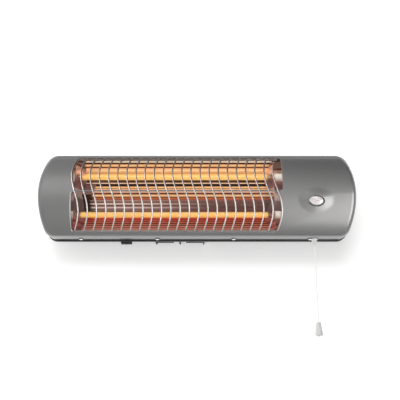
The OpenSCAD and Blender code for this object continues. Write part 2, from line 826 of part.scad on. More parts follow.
// Slider with the stem that the cord hangs on
slider_z = switch_z + switch_h - switch_wall - slider_top - slider_h;
stem_end_z = -half_h - bush_flange_h - bush_nose_l - seat_gap;
module switch_slider() {
    w = cavity_w - 2 * fit_gap;
    color("white") translate([cord_x, cord_y, 0]) {
        translate([-w / 2, -w / 2, slider_z]) cube([w, w, slider_h]);
        translate([0, 0, stem_end_z]) cylinder(h = slider_z - stem_end_z + over, d = stem_d);
    }
}

// Return spring under the slider, wound in one turn per curl
spring_z0 = switch_z + switch_wall + fit_gap + spring_wire / 2;
spring_z1 = slider_z - fit_gap - spring_wire / 2;
spring_n = spring_curls * spring_rings;
module switch_spring() {
    color("silver") translate([cord_x, cord_y, 0]) sweep([for (i = [0:spring_n])
        [spring_d / 2 * cos(360 * i / spring_rings), spring_d / 2 * sin(360 * i / spring_rings),
            spring_z0 + (spring_z1 - spring_z0) * i / spring_n]], spring_wire / 2, spring_sides, [0, 0, 1]);
}
echo(spring_gap = (spring_z1 - spring_z0 - pull_travel) / spring_curls - spring_wire);

// Blades of the switch
module switch_terminals() {
    color("gold") for (s = [-1, 1]) translate([cord_x + s * terminal_pitch / 2 - terminal_w / 2,
        cord_y + cavity_w / 2 + fit_gap, switch_z + switch_h / 2 - terminal_t / 2])
        cube([terminal_w, switch_dep / 2 - cavity_w / 2 + terminal_l / 2, terminal_t]);
}

// Bush that the cord runs out of, through the cover's lower lip
module cord_bush() {
    color("white") translate([cord_x, cord_y, 0]) difference() {
        union() {
            translate([0, 0, -half_h - seat_gap - over])
                cylinder(h = switch_z + switch_wall + half_h + seat_gap + over, d = bush_d);
            translate([0, 0, -half_h - seat_gap - bush_flange_h])
                cylinder(h = bush_flange_h, d = bush_flange_d);
            translate([0, 0, -half_h - seat_gap - bush_flange_h - bush_nose_l])
                cylinder(h = bush_nose_l, d1 = bush_nose_d, d2 = bush_d);
        }
        translate([0, 0, -half_h - bush_flange_h - bush_nose_l - 2 * over])
            cylinder(h = body_h / 2, d = bush_bore_d);
    }
}

// Pull cord and the bell-shaped knob on its end
cord_z = stem_end_z - cord_gap;
module pull_cord() {
    color("white") translate([cord_x, cord_y, cord_z]) sweep(cord_points, cord_d / 2, cord_sides, [1, 0, 0]);
}
module pull_knob() {
    color("ivory") translate([cord_x, cord_y, cord_z - cord_l]) difference() {
        union() {
            translate([0, 0, -knob_waist_l]) cylinder(h = knob_waist_l, d1 = knob_waist_d, d2 = knob_top_d);
            translate([0, 0, -knob_l]) cylinder(h = knob_l - knob_waist_l, d1 = knob_d, d2 = knob_waist_d);
            translate([0, 0, -knob_l - knob_nub_l]) cylinder(h = knob_nub_l + over, d = knob_nub_d);
        }
        translate([0, 0, cord_l - cord_points_depth])
            cylinder(h = cord_points_depth, d = cord_d + 2 * knob_hole_gap);
        for (i = [1:knob_grooves]) let (s = (i - 0.5) / knob_grooves)
            translate([0, 0, -knob_waist_l - s * (knob_l - knob_waist_l)])
            rotate_extrude() translate([knob_waist_d / 2 + (knob_d - knob_waist_d) / 2 * s, 0])
            circle(d = knob_groove_d, $fn = 16);
    }
}
cord_points_depth = -cord_points[len(cord_points) - 1][2] + knob_hole_gap;

// Terminal block on the back panel, with one screw at each end of every pole
module at_block() {
    translate([block_x, back_y - sheet_t - seat_gap, block_z]) rotate([90, 0, 0]) children();
}
module block_places() {
    for (i = [0:block_poles - 1], t = [-1, 1])
        translate([(i - (block_poles - 1) / 2) * block_pitch, t * block_h / 4, block_dep]) children();
}
module terminal_block() {
    color("white") at_block() difference() {
        translate([-block_w / 2, -block_h / 2, 0]) cube([block_w, block_h, block_dep]);
        block_places() translate([0, 0, -block_screw_h])
            cylinder(h = block_screw_h + over, d = block_screw_d + 2 * seat_gap);
    }
}
module terminal_screws() {
    color("gold") at_block() block_places() difference() {
        translate([0, 0, seat_gap - block_screw_h]) cylinder(h = block_screw_h - seat_gap, d = block_screw_d);
        translate([-block_screw_d, -screw_slot_w / 2, -screw_slot_h])
            cube([2 * block_screw_d, screw_slot_w, screw_slot_h + over]);
    }
}

// Cable gland under the tray, with its nut inside
gland_y = rim_y + seat_gap + gland_dep / 2;
module cable_gland() {
    color("#1b1b1b") translate([gland_x, gland_y, -tray_half_h - seat_gap]) difference() {
        union() {
            translate([-gland_w / 2, -gland_dep / 2, -gland_l]) cube([gland_w, gland_dep, gland_l]);
            cylinder(h = gland_neck_l, d = gland_neck_d);
            translate([0, 0, sheet_t + 2 * seat_gap]) cylinder(h = gland_nut_l, d = gland_nut_d, $fn = 6);
        }
        translate([0, 0, -gland_l - over]) cylinder(h = gland_l + gland_neck_l + 2 * over, d = gland_bore_d);
    }
}

// Earth stud with its nut, on the back panel
module earth_stud() {
    color("gold") translate([earth_x, 0, earth_z]) {
        rod_y(back_y - earth_l, earth_l + seat_gap, earth_d);
        rod_y(back_y + seat_gap, earth_nut_h / 2, earth_nut_d);
        translate([0, back_y - sheet_t - seat_gap, 0]) rotate([90, 0, 0])
            cylinder(h = earth_nut_h, d = earth_nut_d, $fn = 6);
    }
}

// Inner leads: gland to terminal block, block to switch, switch to the upper tube, lower tube to the
// block, and the link between the tubes' left ends
lead_y = back_y - sheet_t - 2 * lead_d;
lead_up = 42;
lead_z = lead_up - half_h;
lead_rise = 4;
neck_end_x = cap_in_x + cap_l + neck_l + fit_gap;
function block_lead(t, z) = [block_x + t * block_pitch, lead_y - lead_d, z];
function blade_lead(s, l) = [cord_x + s * terminal_pitch / 2,
    cord_y + switch_dep / 2 + terminal_l / 2 + fit_gap + l, switch_z + switch_h / 2];
function lead_routes() = [
    [[gland_x, gland_y, gland_neck_l - tray_half_h],
        [gland_x, gland_y, lead_rise + gland_neck_l - tray_half_h],
        [gland_x + gland_l, lead_y, lead_z], [tube_x, lead_y, lead_z],
        [tube_x + web_x - foot_l, lead_y, lead_z],
        [tube_x + web_x + foot_l, lead_y, lead_z], [block_x - block_pitch, lead_y, 0],
        block_lead(-1, block_z - block_h / 2 - lead_rise), block_lead(-1, block_z - block_h / 2 - fit_gap)],
    [block_lead(1, block_z - block_h / 2 - fit_gap), block_lead(1, block_z - block_h / 2 - lead_rise),
        [cord_x - terminal_pitch / 2, lead_y, 0], [cord_x - terminal_pitch / 2, lead_y, -switch_h / 2],
        blade_lead(-1, 2 * lead_rise), blade_lead(-1, 0)],
    [blade_lead(1, 0), blade_lead(1, lead_rise), [cord_x + terminal_pitch / 2, lead_y - lead_rise, lead_z],
        [cord_x + terminal_pitch / 2, lead_y - 2 * lead_rise, 0], [block_x, tube_y + 2 * lead_rise, tube_z],
        [tube_x + neck_end_x + lead_rise, tube_y, tube_z], [tube_x + neck_end_x, tube_y, tube_z]],
    [[tube_x + neck_end_x, tube_y, -tube_z], [tube_x + neck_end_x + lead_rise, tube_y, -tube_z],
        [tube_x + neck_end_x + 3 * lead_rise, tube_y + 2 * lead_rise, -tube_z],
        [block_x - lead_rise, lead_y - lead_rise, -tube_z / 2], [block_x, lead_y - lead_d, 0],
        block_lead(0, block_z - block_h / 2 - lead_rise), block_lead(0, block_z - block_h / 2 - fit_gap)],
    [[tube_x - neck_end_x, tube_y, tube_z], [tube_x - neck_end_x - lead_rise, tube_y, tube_z],
        [tube_x - neck_end_x - 2 * lead_rise, tube_y, tube_z - lead_rise],
        [tube_x - neck_end_x - 2 * lead_rise, tube_y, 0],
        [tube_x - neck_end_x - 2 * lead_rise, tube_y, lead_rise - tube_z],
        [tube_x - neck_end_x - lead_rise, tube_y, -tube_z], [tube_x - neck_end_x, tube_y, -tube_z]]];
module inner_leads() {
    color("#8a2a1a") for (p = lead_routes()) sweep(p, lead_d / 2, lead_sides, unit([0.3, 0.5, 0.81]));
}

// Rivets that hold the hinge barrels to the tray
rivet_z = hinge_z + barrel_r + barrel_foot_h - foot_rivet_in;
function rivet_places() = [for (s = [-1, 1], t = [-1, 1])
    bracket_x + s * barrel_pitch / 2 + t * barrel_foot_w / 4];
module panel_rivets() {
    foot_y = back_y + seat_gap + barrel_foot_t;
    color("silver") for (x = rivet_places()) translate([x, 0, rivet_z]) {
        rod_y(back_y - sheet_t - seat_gap, foot_y - back_y + sheet_t + 2 * seat_gap, rivet_d);
        rod_y(back_y - sheet_t - seat_gap - rivet_head_h, rivet_head_h, rivet_head_d);
        rod_y(foot_y + seat_gap, rivet_head_h, rivet_head_d);
    }
}

// Places of the ears: one between the barrels and one outside each
function ear_places() = [bracket_x,
    for (s = [-1, 1]) bracket_x + s * (barrel_pitch / 2 + barrel_l / 2 + ear_gap + ear_t / 2)];

// Bracket on the wall: plate with two slots, and three ears that hold the hinge pin
module wall_bracket() {
    color("dimgray") difference() {
        union() {
            along_y(-plate_t, plate_t) difference() {
                translate([bracket_x - plate_w / 2, hinge_z]) square([plate_w, plate_h]);
                for (s = [-1, 1]) translate([bracket_x + s * screw_span / 2, plate_top + slot_z])
                    wall_slot();
            }
            for (x = ear_places()) along_x(x - ear_t / 2, ear_t) ear();
        }
        translate([0, hinge_y, hinge_z]) rod_x(bracket_x - plate_w / 2, plate_w, pin_d + 2 * run_gap);
    }
}

// Slot for a wall screw
module wall_slot() {
    square([slot_l - slot_w, slot_w], center = true);
    for (s = [-1, 1]) translate([s * (slot_l - slot_w) / 2, 0]) circle(d = slot_w);
}

// Ear of the bracket, from the wall plate to the hinge
module ear() {
    translate([hinge_y, hinge_z]) circle(r = ear_r);
    translate([hinge_y, hinge_z]) square([-hinge_y - plate_t / 2, 2 * ear_r]);
    translate([hinge_y, hinge_z - ear_r]) square([-hinge_y, ear_r + over]);
}

// Hinge pin with its head
module hinge_pin() {
    x0 = ear_places()[1] - ear_t / 2;
    x1 = ear_places()[2] + ear_t / 2;
    color("silver") translate([0, hinge_y, hinge_z]) {
        rod_x(x0 - seat_gap, x1 - x0 + pin_end_l, pin_d);
        rod_x(x0 - seat_gap - pin_head_l, pin_head_l, pin_head_d);
    }
}

// Wing nut that sets the grip of the hinge
module wing_nut() {
    x = ear_places()[2] + ear_t / 2 + seat_gap;
    color("gray") translate([x, hinge_y, hinge_z]) rotate([0, 90, 0]) difference() {
        union() {
            cylinder(h = nut_h, d1 = nut_d, d2 = nut_d - wing_t);
            for (s = [0, 1]) mirror([0, s, 0])
                translate([-wing_t / 2, pin_d / 2 + wing_t / 2, wing_t])
                cube([wing_t, wing_l - wing_t, wing_h]);
        }
        translate([0, 0, -over]) cylinder(h = nut_h + wing_h + 2 * over, d = pin_d + 2 * run_gap);
    }
}

// Two barrels on the back panel that turn on the hinge pin
module hinge_barrels() {
    y0 = back_y + seat_gap;
    y1 = y0 + barrel_foot_t;
    z0 = hinge_z + barrel_r;
    color("dimgray") for (s = [-1, 1]) translate([bracket_x + s * barrel_pitch / 2, 0, 0]) difference() {
        union() {
            translate([0, hinge_y, hinge_z]) rod_x(-barrel_l / 2, barrel_l, 2 * barrel_r);
            along_x(-barrel_foot_w / 2, barrel_foot_w) polygon([[y0, over - tray_half_h],
                [y0, z0 + barrel_foot_h], [y1, z0 + barrel_foot_h], [y1, z0 + barrel_foot_t],
                [hinge_y + barrel_r / 2, hinge_z + barrel_r / 2], [hinge_y - barrel_r / 2, hinge_z]]);
        }
        translate([0, hinge_y, hinge_z]) rod_x(-barrel_l, 2 * barrel_l, pin_d + 2 * run_gap);
        for (t = [-1, 1]) translate([t * barrel_foot_w / 4, 0, rivet_z])
            rod_y(back_y - over, tray_d, rivet_d + 2 * seat_gap);
    }
}

wall_bracket();
hinge_pin();
wing_nut();
hinge_barrels();
back_panel();
front_cover();
cover_screws();
left_end_bracket();
right_end_bracket();
upper_reflector();
lower_reflector();
upper_quartz_tube();
lower_quartz_tube();
upper_heating_coil();
lower_heating_coil();
upper_ceramic_caps();
lower_ceramic_caps();
tube_clips();
guard_wires();
guard_rails();
lamp_lens();
lamp_bezel();
lamp_holder();
neon_lamp();
switch_body();
switch_slider();
switch_spring();
switch_terminals();
cord_bush();
pull_cord();
pull_knob();
terminal_block();
terminal_screws();
cable_gland();
earth_stud();
inner_leads();
panel_rivets();
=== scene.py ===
# Electric bar heater on a white wall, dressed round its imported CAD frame
import math

import bmesh
import bpy
import numpy as np
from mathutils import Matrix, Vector


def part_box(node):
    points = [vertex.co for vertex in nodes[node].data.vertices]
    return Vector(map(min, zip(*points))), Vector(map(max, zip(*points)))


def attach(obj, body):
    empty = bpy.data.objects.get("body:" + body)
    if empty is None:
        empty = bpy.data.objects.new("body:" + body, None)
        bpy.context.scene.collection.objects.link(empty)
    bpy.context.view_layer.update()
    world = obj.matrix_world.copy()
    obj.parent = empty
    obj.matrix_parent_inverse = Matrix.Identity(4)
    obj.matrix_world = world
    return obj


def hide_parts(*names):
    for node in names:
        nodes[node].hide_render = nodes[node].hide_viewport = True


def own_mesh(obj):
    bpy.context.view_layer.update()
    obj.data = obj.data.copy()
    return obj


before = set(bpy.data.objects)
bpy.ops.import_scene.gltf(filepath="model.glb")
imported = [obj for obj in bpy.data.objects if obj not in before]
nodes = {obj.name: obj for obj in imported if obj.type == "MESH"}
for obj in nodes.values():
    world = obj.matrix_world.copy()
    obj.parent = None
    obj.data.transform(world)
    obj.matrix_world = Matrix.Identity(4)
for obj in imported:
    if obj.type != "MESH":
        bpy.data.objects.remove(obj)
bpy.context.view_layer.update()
scene = bpy.context.scene
mm = 0.001
print("frame loaded:", len(nodes), "nodes")


# Camera a little below the heater, tilted up to it
cameraSettings = {
    "place": (0.0051, -1.0851, -0.2794),
    "tiltDegrees": 105.0,
    "lens": 54.1,
    "near": 0.05,
    "far": 30.0,
}


def addCamera(c):
    data = bpy.data.cameras.new("camera")
    data.lens = c["lens"]
    data.clip_start = c["near"]
    data.clip_end = c["far"]
    camera = bpy.data.objects.new("camera", data)
    camera.location = c["place"]
    camera.rotation_euler = (math.radians(c["tiltDegrees"]), 0, 0)
    scene.collection.objects.link(camera)
    scene.camera = camera


addCamera(cameraSettings)
print("camera set")


# Sets a node's inputs from numbers and colours, or links other nodes' outputs to them
def setInputs(t, node, values):
    for key, value in values.items():
        if isinstance(value, bpy.types.NodeSocket):
            t.links.new(value, node.inputs[key])
        else:
            node.inputs[key].default_value = value


# New node of a kind, with its inputs and options; gives back one output, or all of them where out is None
def nodeOf(t, kind, inputs={}, out=0, **options):
    node = t.nodes.new("ShaderNode" + kind)
    for key, value in options.items():
        setattr(node, key, value)
    setInputs(t, node, inputs)
    return node.outputs if out is None else node.outputs[out]


# New material, with its nodes and its shader
def newMaterial(name):
    m = bpy.data.materials.new(name)
    m.use_nodes = True
    return m, m.node_tree, m.node_tree.nodes["Principled BSDF"]


# Noise on the object's own coordinates, drawn out along an axis where its stretch is small
def noiseOf(t, scale, detail=3.0, rough=0.55, stretch=(1, 1, 1)):
    place = nodeOf(t, "Mapping", {"Vector": nodeOf(t, "TexCoord", out="Object"), "Scale": stretch})
    inputs = {"Vector": place, "Scale": scale, "Detail": detail, "Roughness": rough}
    return nodeOf(t, "TexNoise", inputs, "Fac")


# Place on the object along X, Y and Z
def axesOf(t):
    return nodeOf(t, "SeparateXYZ", {0: nodeOf(t, "TexCoord", out="Object")}, None)


# Colour that goes from stop to stop as a value grows
def rampOf(t, fac, stops):
    ramp = t.nodes.new("ShaderNodeValToRGB")
    bar = ramp.color_ramp
    while len(bar.elements) < len(stops):
        bar.elements.new(0.5)
    for e, (at, colour) in zip(bar.elements, stops):
        e.position = at
        e.color = (*colour, 1.0)
    t.links.new(fac, ramp.inputs["Fac"])
    return ramp.outputs["Color"]


# Colour that goes with a noise from one share of itself to another
def toneOf(t, noise, colour, low, high):
    tones = [tuple(min(1.0, v * share) for v in colour) for share in (low, high)]
    return rampOf(t, noise, [(0.3, tones[0]), (0.7, tones[1])])


# Short forms of the nodes that are used most: mix of colours, bump, mathematics and change of range
def mixOf(t, factor, a, b, blend="MIX"):
    return nodeOf(t, "Mix", {"Factor": factor, "A": a, "B": b}, "Result", data_type="RGBA", blend_type=blend)


def bumpOf(t, height, strength, distance=0.0002):
    return nodeOf(t, "Bump", {"Height": height, "Strength": strength, "Distance": distance})


def mathOf(t, operation, a, b=None):
    return nodeOf(t, "Math", {0: a} if b is None else {0: a, 1: b}, operation=operation)


def times(t, a, b):
    return mathOf(t, "MULTIPLY", a, b)


def plus(t, a, b):
    return mathOf(t, "ADD", a, b)


# Value that wavers with a noise: the value, plus the noise less a half times a share
def waverOf(t, value, noise, share):
    return plus(t, value, times(t, mathOf(t, "SUBTRACT", noise, 0.5), share))


def rangeOf(t, value, ends, to, way="LINEAR"):
    inputs = {"Value": value, "From Min": ends[0], "From Max": ends[1], "To Min": to[0], "To Max": to[1]}
    return nodeOf(t, "MapRange", inputs, "Result", interpolation_type=way)


# Smooth change from 0 to 1 while the value goes from low to high
def easeOf(t, value, low, high):
    return rangeOf(t, value, (low, high), (0.0, 1.0), "SMOOTHSTEP")


# The same with its two ends in millimetres
def easeMm(t, value, ends):
    return easeOf(t, value, ends[0] * mm, ends[1] * mm)


# Roughness that varies with a noise by a share of itself
def roughOf(t, noise, rough, share=0.12):
    return rangeOf(t, noise, (0.3, 0.7), (rough * (1 - share), rough * (1 + share)))


# A finish with a colour that varies a little, a roughness that varies a little, and a fine bump
def plainFinish(name, colour, vary, rough, metallic, grain, bump, extra={}):
    m, t, s = newMaterial(name)
    fine = noiseOf(t, grain, 4.0, 0.6)
    setInputs(t, s, {"Base Color": toneOf(t, fine, colour, 1 - vary, 1 + vary), "Metallic": metallic,
        "Roughness": roughOf(t, fine, rough), "Normal": bumpOf(t, fine, bump), **extra})
    return m


# Plain finishes: colour, how far it varies, roughness, metallic, grain, bump and the other inputs
plainSettings = {
    "greyPaint": ((0.2, 0.2, 0.2), 0.05, 0.45, 0.85, 1400, 0.05, {"Coat Weight": 1.0, "Coat Roughness": 0.06,
        "Coat IOR": 1.45, "Specular Tint": (0.85, 0.85, 0.85, 1)}),
    "cutEdge": ((0.4, 0.36, 0.34), 0.08, 0.35, 0.8, 500, 0.05),
    "bracketPaint": ((0.012, 0.012, 0.012), 0.2, 0.6, 0.0, 700, 0.1, {"Specular IOR Level": 0.25}),
    "rail": ((0.4, 0.39, 0.39), 0.06, 0.3, 1.0, 500, 0.02),
    "zincSteel": ((0.6, 0.6, 0.6), 0.1, 0.28, 1.0, 600, 0.05),
    "springSteel": ((0.4, 0.4, 0.41), 0.1, 0.35, 1.0, 600, 0.05),
    "shellInside": ((0.34, 0.2, 0.16), 0.15, 0.45, 0.3, 300, 0.05),
    # The caps' faint glow is painted light: they are no lamp
    "ceramic": ((0.88, 0.82, 0.74), 0.05, 0.5, 0.0, 300, 0.05, {"Coat Weight": 0.3,
        "Emission Color": (1.0, 0.86, 0.72, 1), "Emission Strength": 0.22}),
    "whitePlastic": ((0.93, 0.93, 0.91), 0.02, 0.35, 0.0, 500, 0.02),
    # The bush's faint glow is painted light that keeps it pale in the heater's shadow
    "nylon": ((0.96, 0.96, 0.95), 0.02, 0.4, 0.0, 500, 0.02, {"Subsurface Weight": 0.2,
        "Subsurface Scale": 0.004, "Emission Color": (1, 1, 1, 1), "Emission Strength": 0.1}),
    "ivoryPlastic": ((0.74, 0.735, 0.72), 0.04, 0.38, 0.0, 500, 0.03),
    "blackPlastic": ((0.02, 0.02, 0.02), 0.2, 0.55, 0.0, 800, 0.1),
    "brass": ((0.62, 0.46, 0.2), 0.08, 0.25, 1.0, 400, 0.04),
    "leadSleeve": ((0.2, 0.03, 0.02), 0.2, 0.7, 0.0, 2500, 0.3),
    "neon": ((0.8, 0.4, 0.25), 0.05, 0.1, 0.0, 200, 0.0, {"Transmission Weight": 0.6}),
}
finishes = {name: plainFinish(name, *values) for name, values in plainSettings.items()}


# Painted shade: the paint's colour is multiplied by a share that falls with height, so it darkens towards the
# cover's top edge
paintedTopShade = {"low": 62.0, "high": 71.0, "share": 0.4}


def paintTopShade(m, k):
    t = m.node_tree
    base = t.nodes["Principled BSDF"].inputs["Base Color"]
    plain = base.links[0].from_socket
    up = easeMm(t, axesOf(t)[2], (k["low"], k["high"]))
    share = rampOf(t, up, [(0.0, (1, 1, 1)), (1.0, (k["share"],) * 3)])
    t.links.new(mixOf(t, 1.0, plain, share, "MULTIPLY"), base)


# Light along the tube: a strength between the coil's ends, and none past them
def litAlong(t, q, strength):
    away = mathOf(t, "ABSOLUTE", mathOf(t, "SUBTRACT", axesOf(t)[0], q["middle"] * mm))
    return times(t, easeMm(t, away, (q["half"], q["half"] - q["fade"])), strength)


# Milky quartz: clear enough to show the coil, with a soft glow between the coil's ends
quartzSettings = {"rough": 0.3, "middle": -39.5, "half": 163.5, "fade": 2.0, "glow": (1.0, 0.6, 0.13),
    "strength": 0.14, "grain": 300}


def quartzFinish(q):
    m, t, s = newMaterial("quartz")
    setInputs(t, s, {"Base Color": (1.0, 0.95, 0.88, 1), "Roughness": q["rough"], "IOR": 1.46,
        "Transmission Weight": 1.0, "Emission Color": (*q["glow"], 1),
        "Emission Strength": litAlong(t, q, q["strength"]),
        "Normal": bumpOf(t, noiseOf(t, q["grain"], 2.0), 0.03)})
    return m


# Glowing wire: bright orange that varies a little along the coil, and dull metal past its ends
coilSettings = {"glow": (1.0, 0.57, 0.11), "dimmest": 0.86, "strength": 0.55, "grain": 90}


def coilFinish(k, q):
    m, t, s = newMaterial("coil")
    fine = noiseOf(t, k["grain"], 2.0, 0.5, (1, 0.2, 0.2))
    setInputs(t, s, {"Base Color": (0.32, 0.24, 0.2, 1), "Roughness": 0.5, "Metallic": 0.6,
        "Emission Color": toneOf(t, fine, k["glow"], k["dimmest"], 1.0),
        "Emission Strength": litAlong(t, q, k["strength"])})
    return m


# Sheet beside the tubes, with painted reflections of their glow and painted shade in bands that go by height
# and waver a little
tubeReflectionBandSettings = {
    "low": -66.0, "high": 66.0, "glow": 0.2, "rough": 0.24, "metallic": 0.6, "waver": 0.03, "grain": 90,
    "bands": [
        (-66, (0.3, 0.1, 0.08)), (-60, (0.55, 0.24, 0.2)), (-56, (0.35, 0.11, 0.1)),
        (-50, (0.52, 0.22, 0.19)), (-46, (0.16, 0.06, 0.05)), (-42, (0.42, 0.2, 0.18)),
        (-32, (0.4, 0.22, 0.21)), (-26, (0.22, 0.15, 0.14)), (-12, (0.28, 0.2, 0.19)),
        (-4, (0.3, 0.2, 0.18)), (0, (0.7, 0.52, 0.46)), (6, (0.72, 0.55, 0.48)), (10, (0.62, 0.46, 0.38)),
        (15, (0.3, 0.16, 0.16)), (26, (0.24, 0.12, 0.13)), (36, (0.5, 0.3, 0.25)),
        (42, (0.78, 0.54, 0.44)), (54, (0.74, 0.46, 0.36)), (55.2, (0.2, 0.06, 0.05)),
        (57.4, (0.2, 0.06, 0.05)), (58.6, (0.72, 0.48, 0.36)), (62.0, (0.7, 0.46, 0.34)),
        (63.4, (0.1, 0.04, 0.035)), (66, (0.26, 0.13, 0.08))],
}


def tubeReflectionBandFinish(k):
    m, t, s = newMaterial("paintedReflectionSheet")
    fine = noiseOf(t, k["grain"], 4.0, 0.6, (1, 6, 6))
    span = k["high"] - k["low"]
    height = plus(t, times(t, axesOf(t)[2], 1 / (span * mm)), -k["low"] / span)
    height = waverOf(t, height, fine, k["waver"])
    colour = rampOf(t, height, [((z - k["low"]) / span, c) for z, c in k["bands"]])
    # The bands also glow a little: painted light
    setInputs(t, s, {"Base Color": colour, "Emission Color": colour, "Emission Strength": k["glow"],
        "Metallic": k["metallic"], "Roughness": roughOf(t, fine, k["rough"], 0.15),
        "Normal": bumpOf(t, fine, 0.05)})
    return m


# Pressed panel: black paint outside, and inside the cover, where it faces the hot sheets, a painted warm
# reflection of their glow
panelSettings = {"paint": (0.012, 0.012, 0.012), "paintedWarmReflection": (0.5, 0.32, 0.24), "glow": 0.22, "rough": 0.4,
    "halfW": (252.0, 244.0), "halfH": (72.9, 72.2), "depth": (-34.3, -34.9), "grain": 300}


def panelFinish(k):
    m, t, s = newMaterial("panelPaint")
    x, y, z = axesOf(t)
    wide = easeMm(t, mathOf(t, "ABSOLUTE", x), k["halfW"])
    high = easeMm(t, mathOf(t, "ABSOLUTE", z), k["halfH"])
    inside = times(t, times(t, wide, high), easeMm(t, y, k["depth"]))
    fine = noiseOf(t, k["grain"], 4.0, 0.6)
    colour = mixOf(t, inside, toneOf(t, fine, k["paint"], 0.8, 1.2), toneOf(t, fine, k["paintedWarmReflection"], 0.7, 1.0))
    # Inside, the painted reflection also glows a little: painted light
    setInputs(t, s, {"Base Color": colour, "Emission Color": colour,
        "Emission Strength": times(t, inside, k["glow"]), "Roughness": roughOf(t, fine, k["rough"]),
        "Normal": bumpOf(t, fine, 0.08)})
    return m


# Bright wire, darker in its upper half: painted shade for the darker reflections there, and in part heat tint
# from the upper tube
wireSettings = {"span": 26.0, "shift": 0.45, "vary": 0.3, "low": (0.5, 0.48, 0.47), "high": (0.2, 0.17, 0.16),
    "rough": 0.32, "metallic": 0.9, "grain": 260}


def wireFinish(w):
    m, t, s = newMaterial("wire")
    fine = noiseOf(t, w["grain"])
    height = waverOf(t, plus(t, times(t, axesOf(t)[2], 1 / (w["span"] * mm)), w["shift"]), fine, w["vary"])
    # The darker upper colour is partly painted shade
    setInputs(t, s, {"Base Color": rampOf(t, height, [(0.0, w["low"]), (1.0, w["high"])]),
        "Roughness": roughOf(t, fine, w["rough"], 0.15), "Metallic": w["metallic"]})
    return m


# Screw head: painted shade round its foot and a painted reflection of the wall on its dome
screwFinishSettings = {"foot": 73.9, "dome": 74.5, "dark": (0.02, 0.02, 0.02), "bright": (0.95, 0.95, 0.93),
    "rough": 0.16, "metallic": 0.9, "grain": 600}


def screwFinish(k):
    m, t, s = newMaterial("screwHead")
    fine = noiseOf(t, k["grain"], 4.0, 0.6)
    up = easeMm(t, mathOf(t, "ABSOLUTE", axesOf(t)[2]), (k["foot"], k["dome"]))
    setInputs(t, s, {"Base Color": rampOf(t, up, [(0.0, k["dark"]), (1.0, k["bright"])]),
        "Metallic": k["metallic"], "Roughness": roughOf(t, fine, k["rough"]),
        "Normal": bumpOf(t, fine, 0.03)})
    return m


# Clear moulded plastic over a lit lamp: faint ribs across it and a pinkish glow
lensFinishSettings = {"grain": 170, "ribs": (1.0, 1.0, 2.2), "rough": 0.12, "glow": 0.1,
    "colours": [(0.35, (0.5, 0.45, 0.46)), (0.5, (0.76, 0.7, 0.71)), (0.7, (0.92, 0.88, 0.88))]}


def lensFinish(k):
    m, t, s = newMaterial("lens")
    fine = noiseOf(t, k["grain"], 3.0, 0.6, k["ribs"])
    setInputs(t, s, {"Base Color": rampOf(t, fine, k["colours"]), "Roughness": k["rough"], "Coat Weight": 1.0,
        "Coat Roughness": 0.03, "IOR": 1.49, "Emission Color": (1.0, 0.9, 0.9, 1),
        "Emission Strength": k["glow"], "Normal": bumpOf(t, fine, 0.25, 0.0003)})
    return m


# Twisted strands along the cord: a wave on its own UV map, with the strands at a slant
strandSettings = {"slant": 0.6, "scale": 2.0, "bump": 0.4, "glow": 0.14,
    "colours": [(0.2, (0.84, 0.84, 0.82)), (0.8, (0.95, 0.95, 0.94))]}


def cordFinish(k):
    m, t, s = newMaterial("cordFinish")
    uv = nodeOf(t, "UVMap", uv_map="along")
    place = nodeOf(t, "Mapping", {"Vector": uv, "Rotation": (0, 0, k["slant"])})
    inputs = {"Vector": place, "Scale": k["scale"], "Distortion": 0.4, "Detail": 1.0}
    wave = nodeOf(t, "TexWave", inputs, "Fac")
    # The cord's faint glow is painted light that keeps it pale
    setInputs(t, s, {"Base Color": rampOf(t, wave, k["colours"]), "Roughness": 0.8, "Sheen Weight": 0.2,
        "Emission Color": (1, 1, 1, 1), "Emission Strength": k["glow"], "Normal": bumpOf(t, wave, k["bump"])})
    return m


paintTopShade(finishes["greyPaint"], paintedTopShade)
finishes.update({
    "quartz": quartzFinish(quartzSettings), "coil": coilFinish(coilSettings, quartzSettings),
    "wire": wireFinish(wireSettings), "paintedReflectionSheet": tubeReflectionBandFinish(tubeReflectionBandSettings),
    "panelPaint": panelFinish(panelSettings), "screwHead": screwFinish(screwFinishSettings),
    "lens": lensFinish(lensFinishSettings), "cord": cordFinish(strandSettings),
})
print("first finishes made:", len(finishes))


# Mesh from whole arrays of points and faces
def meshPiece(name, points, faces, finish, smooth=True, uv=None):
    mesh = bpy.data.meshes.new(name)
    mesh.from_pydata(points.reshape(-1, 3).tolist(), [], faces.tolist())
    mesh.update()
    mesh.polygons.foreach_set("use_smooth", np.full(len(mesh.polygons), smooth))
    if uv is not None:
        layer = mesh.uv_layers.new(name="along")
        loops = np.zeros(len(mesh.loops), np.int32)
        mesh.loops.foreach_get("vertex_index", loops)
        layer.data.foreach_set("uv", uv.reshape(-1, 2)[loops].ravel())
    mesh.materials.append(finishes[finish])
    obj = bpy.data.objects.new(name, mesh)
    scene.collection.objects.link(obj)
    return obj


# Quads of a grid of rows and columns; wrapCols joins the last column to the first
def gridFaces(rows, cols, wrapCols=False, keep=None, flip=False):
    i, j = np.meshgrid(np.arange(rows - 1), np.arange(cols if wrapCols else cols - 1), indexing="ij")
    k = (j + 1) % cols
    quads = np.stack([i * cols + j, i * cols + k, (i + 1) * cols + k, (i + 1) * cols + j], -1)
    if keep is not None:
        quads = quads[keep]
    quads = quads.reshape(-1, 4)
    return quads[:, ::-1] if flip else quads


# Solid turned about Z or X through a centre: each (radius, height) of the profile becomes a ring
def turned(name, profile, centre, axis, finish, sharp, sides=48):
    p = np.array(profile, float) * mm
    a = np.linspace(0, 2 * np.pi, sides, endpoint=False)
    ring = np.stack([np.cos(a), np.sin(a)], -1)
    flat = p[:, None, 0:1] * ring[None]
    height = np.broadcast_to(p[:, None, 1:2], (len(p), sides, 1))
    pts = np.concatenate([flat, height] if axis == "z" else [height, flat], -1) + np.array(centre) * mm
    return finishMesh(meshPiece(name, pts, gridFaces(len(p), sides, True), finish), sharp=sharp)


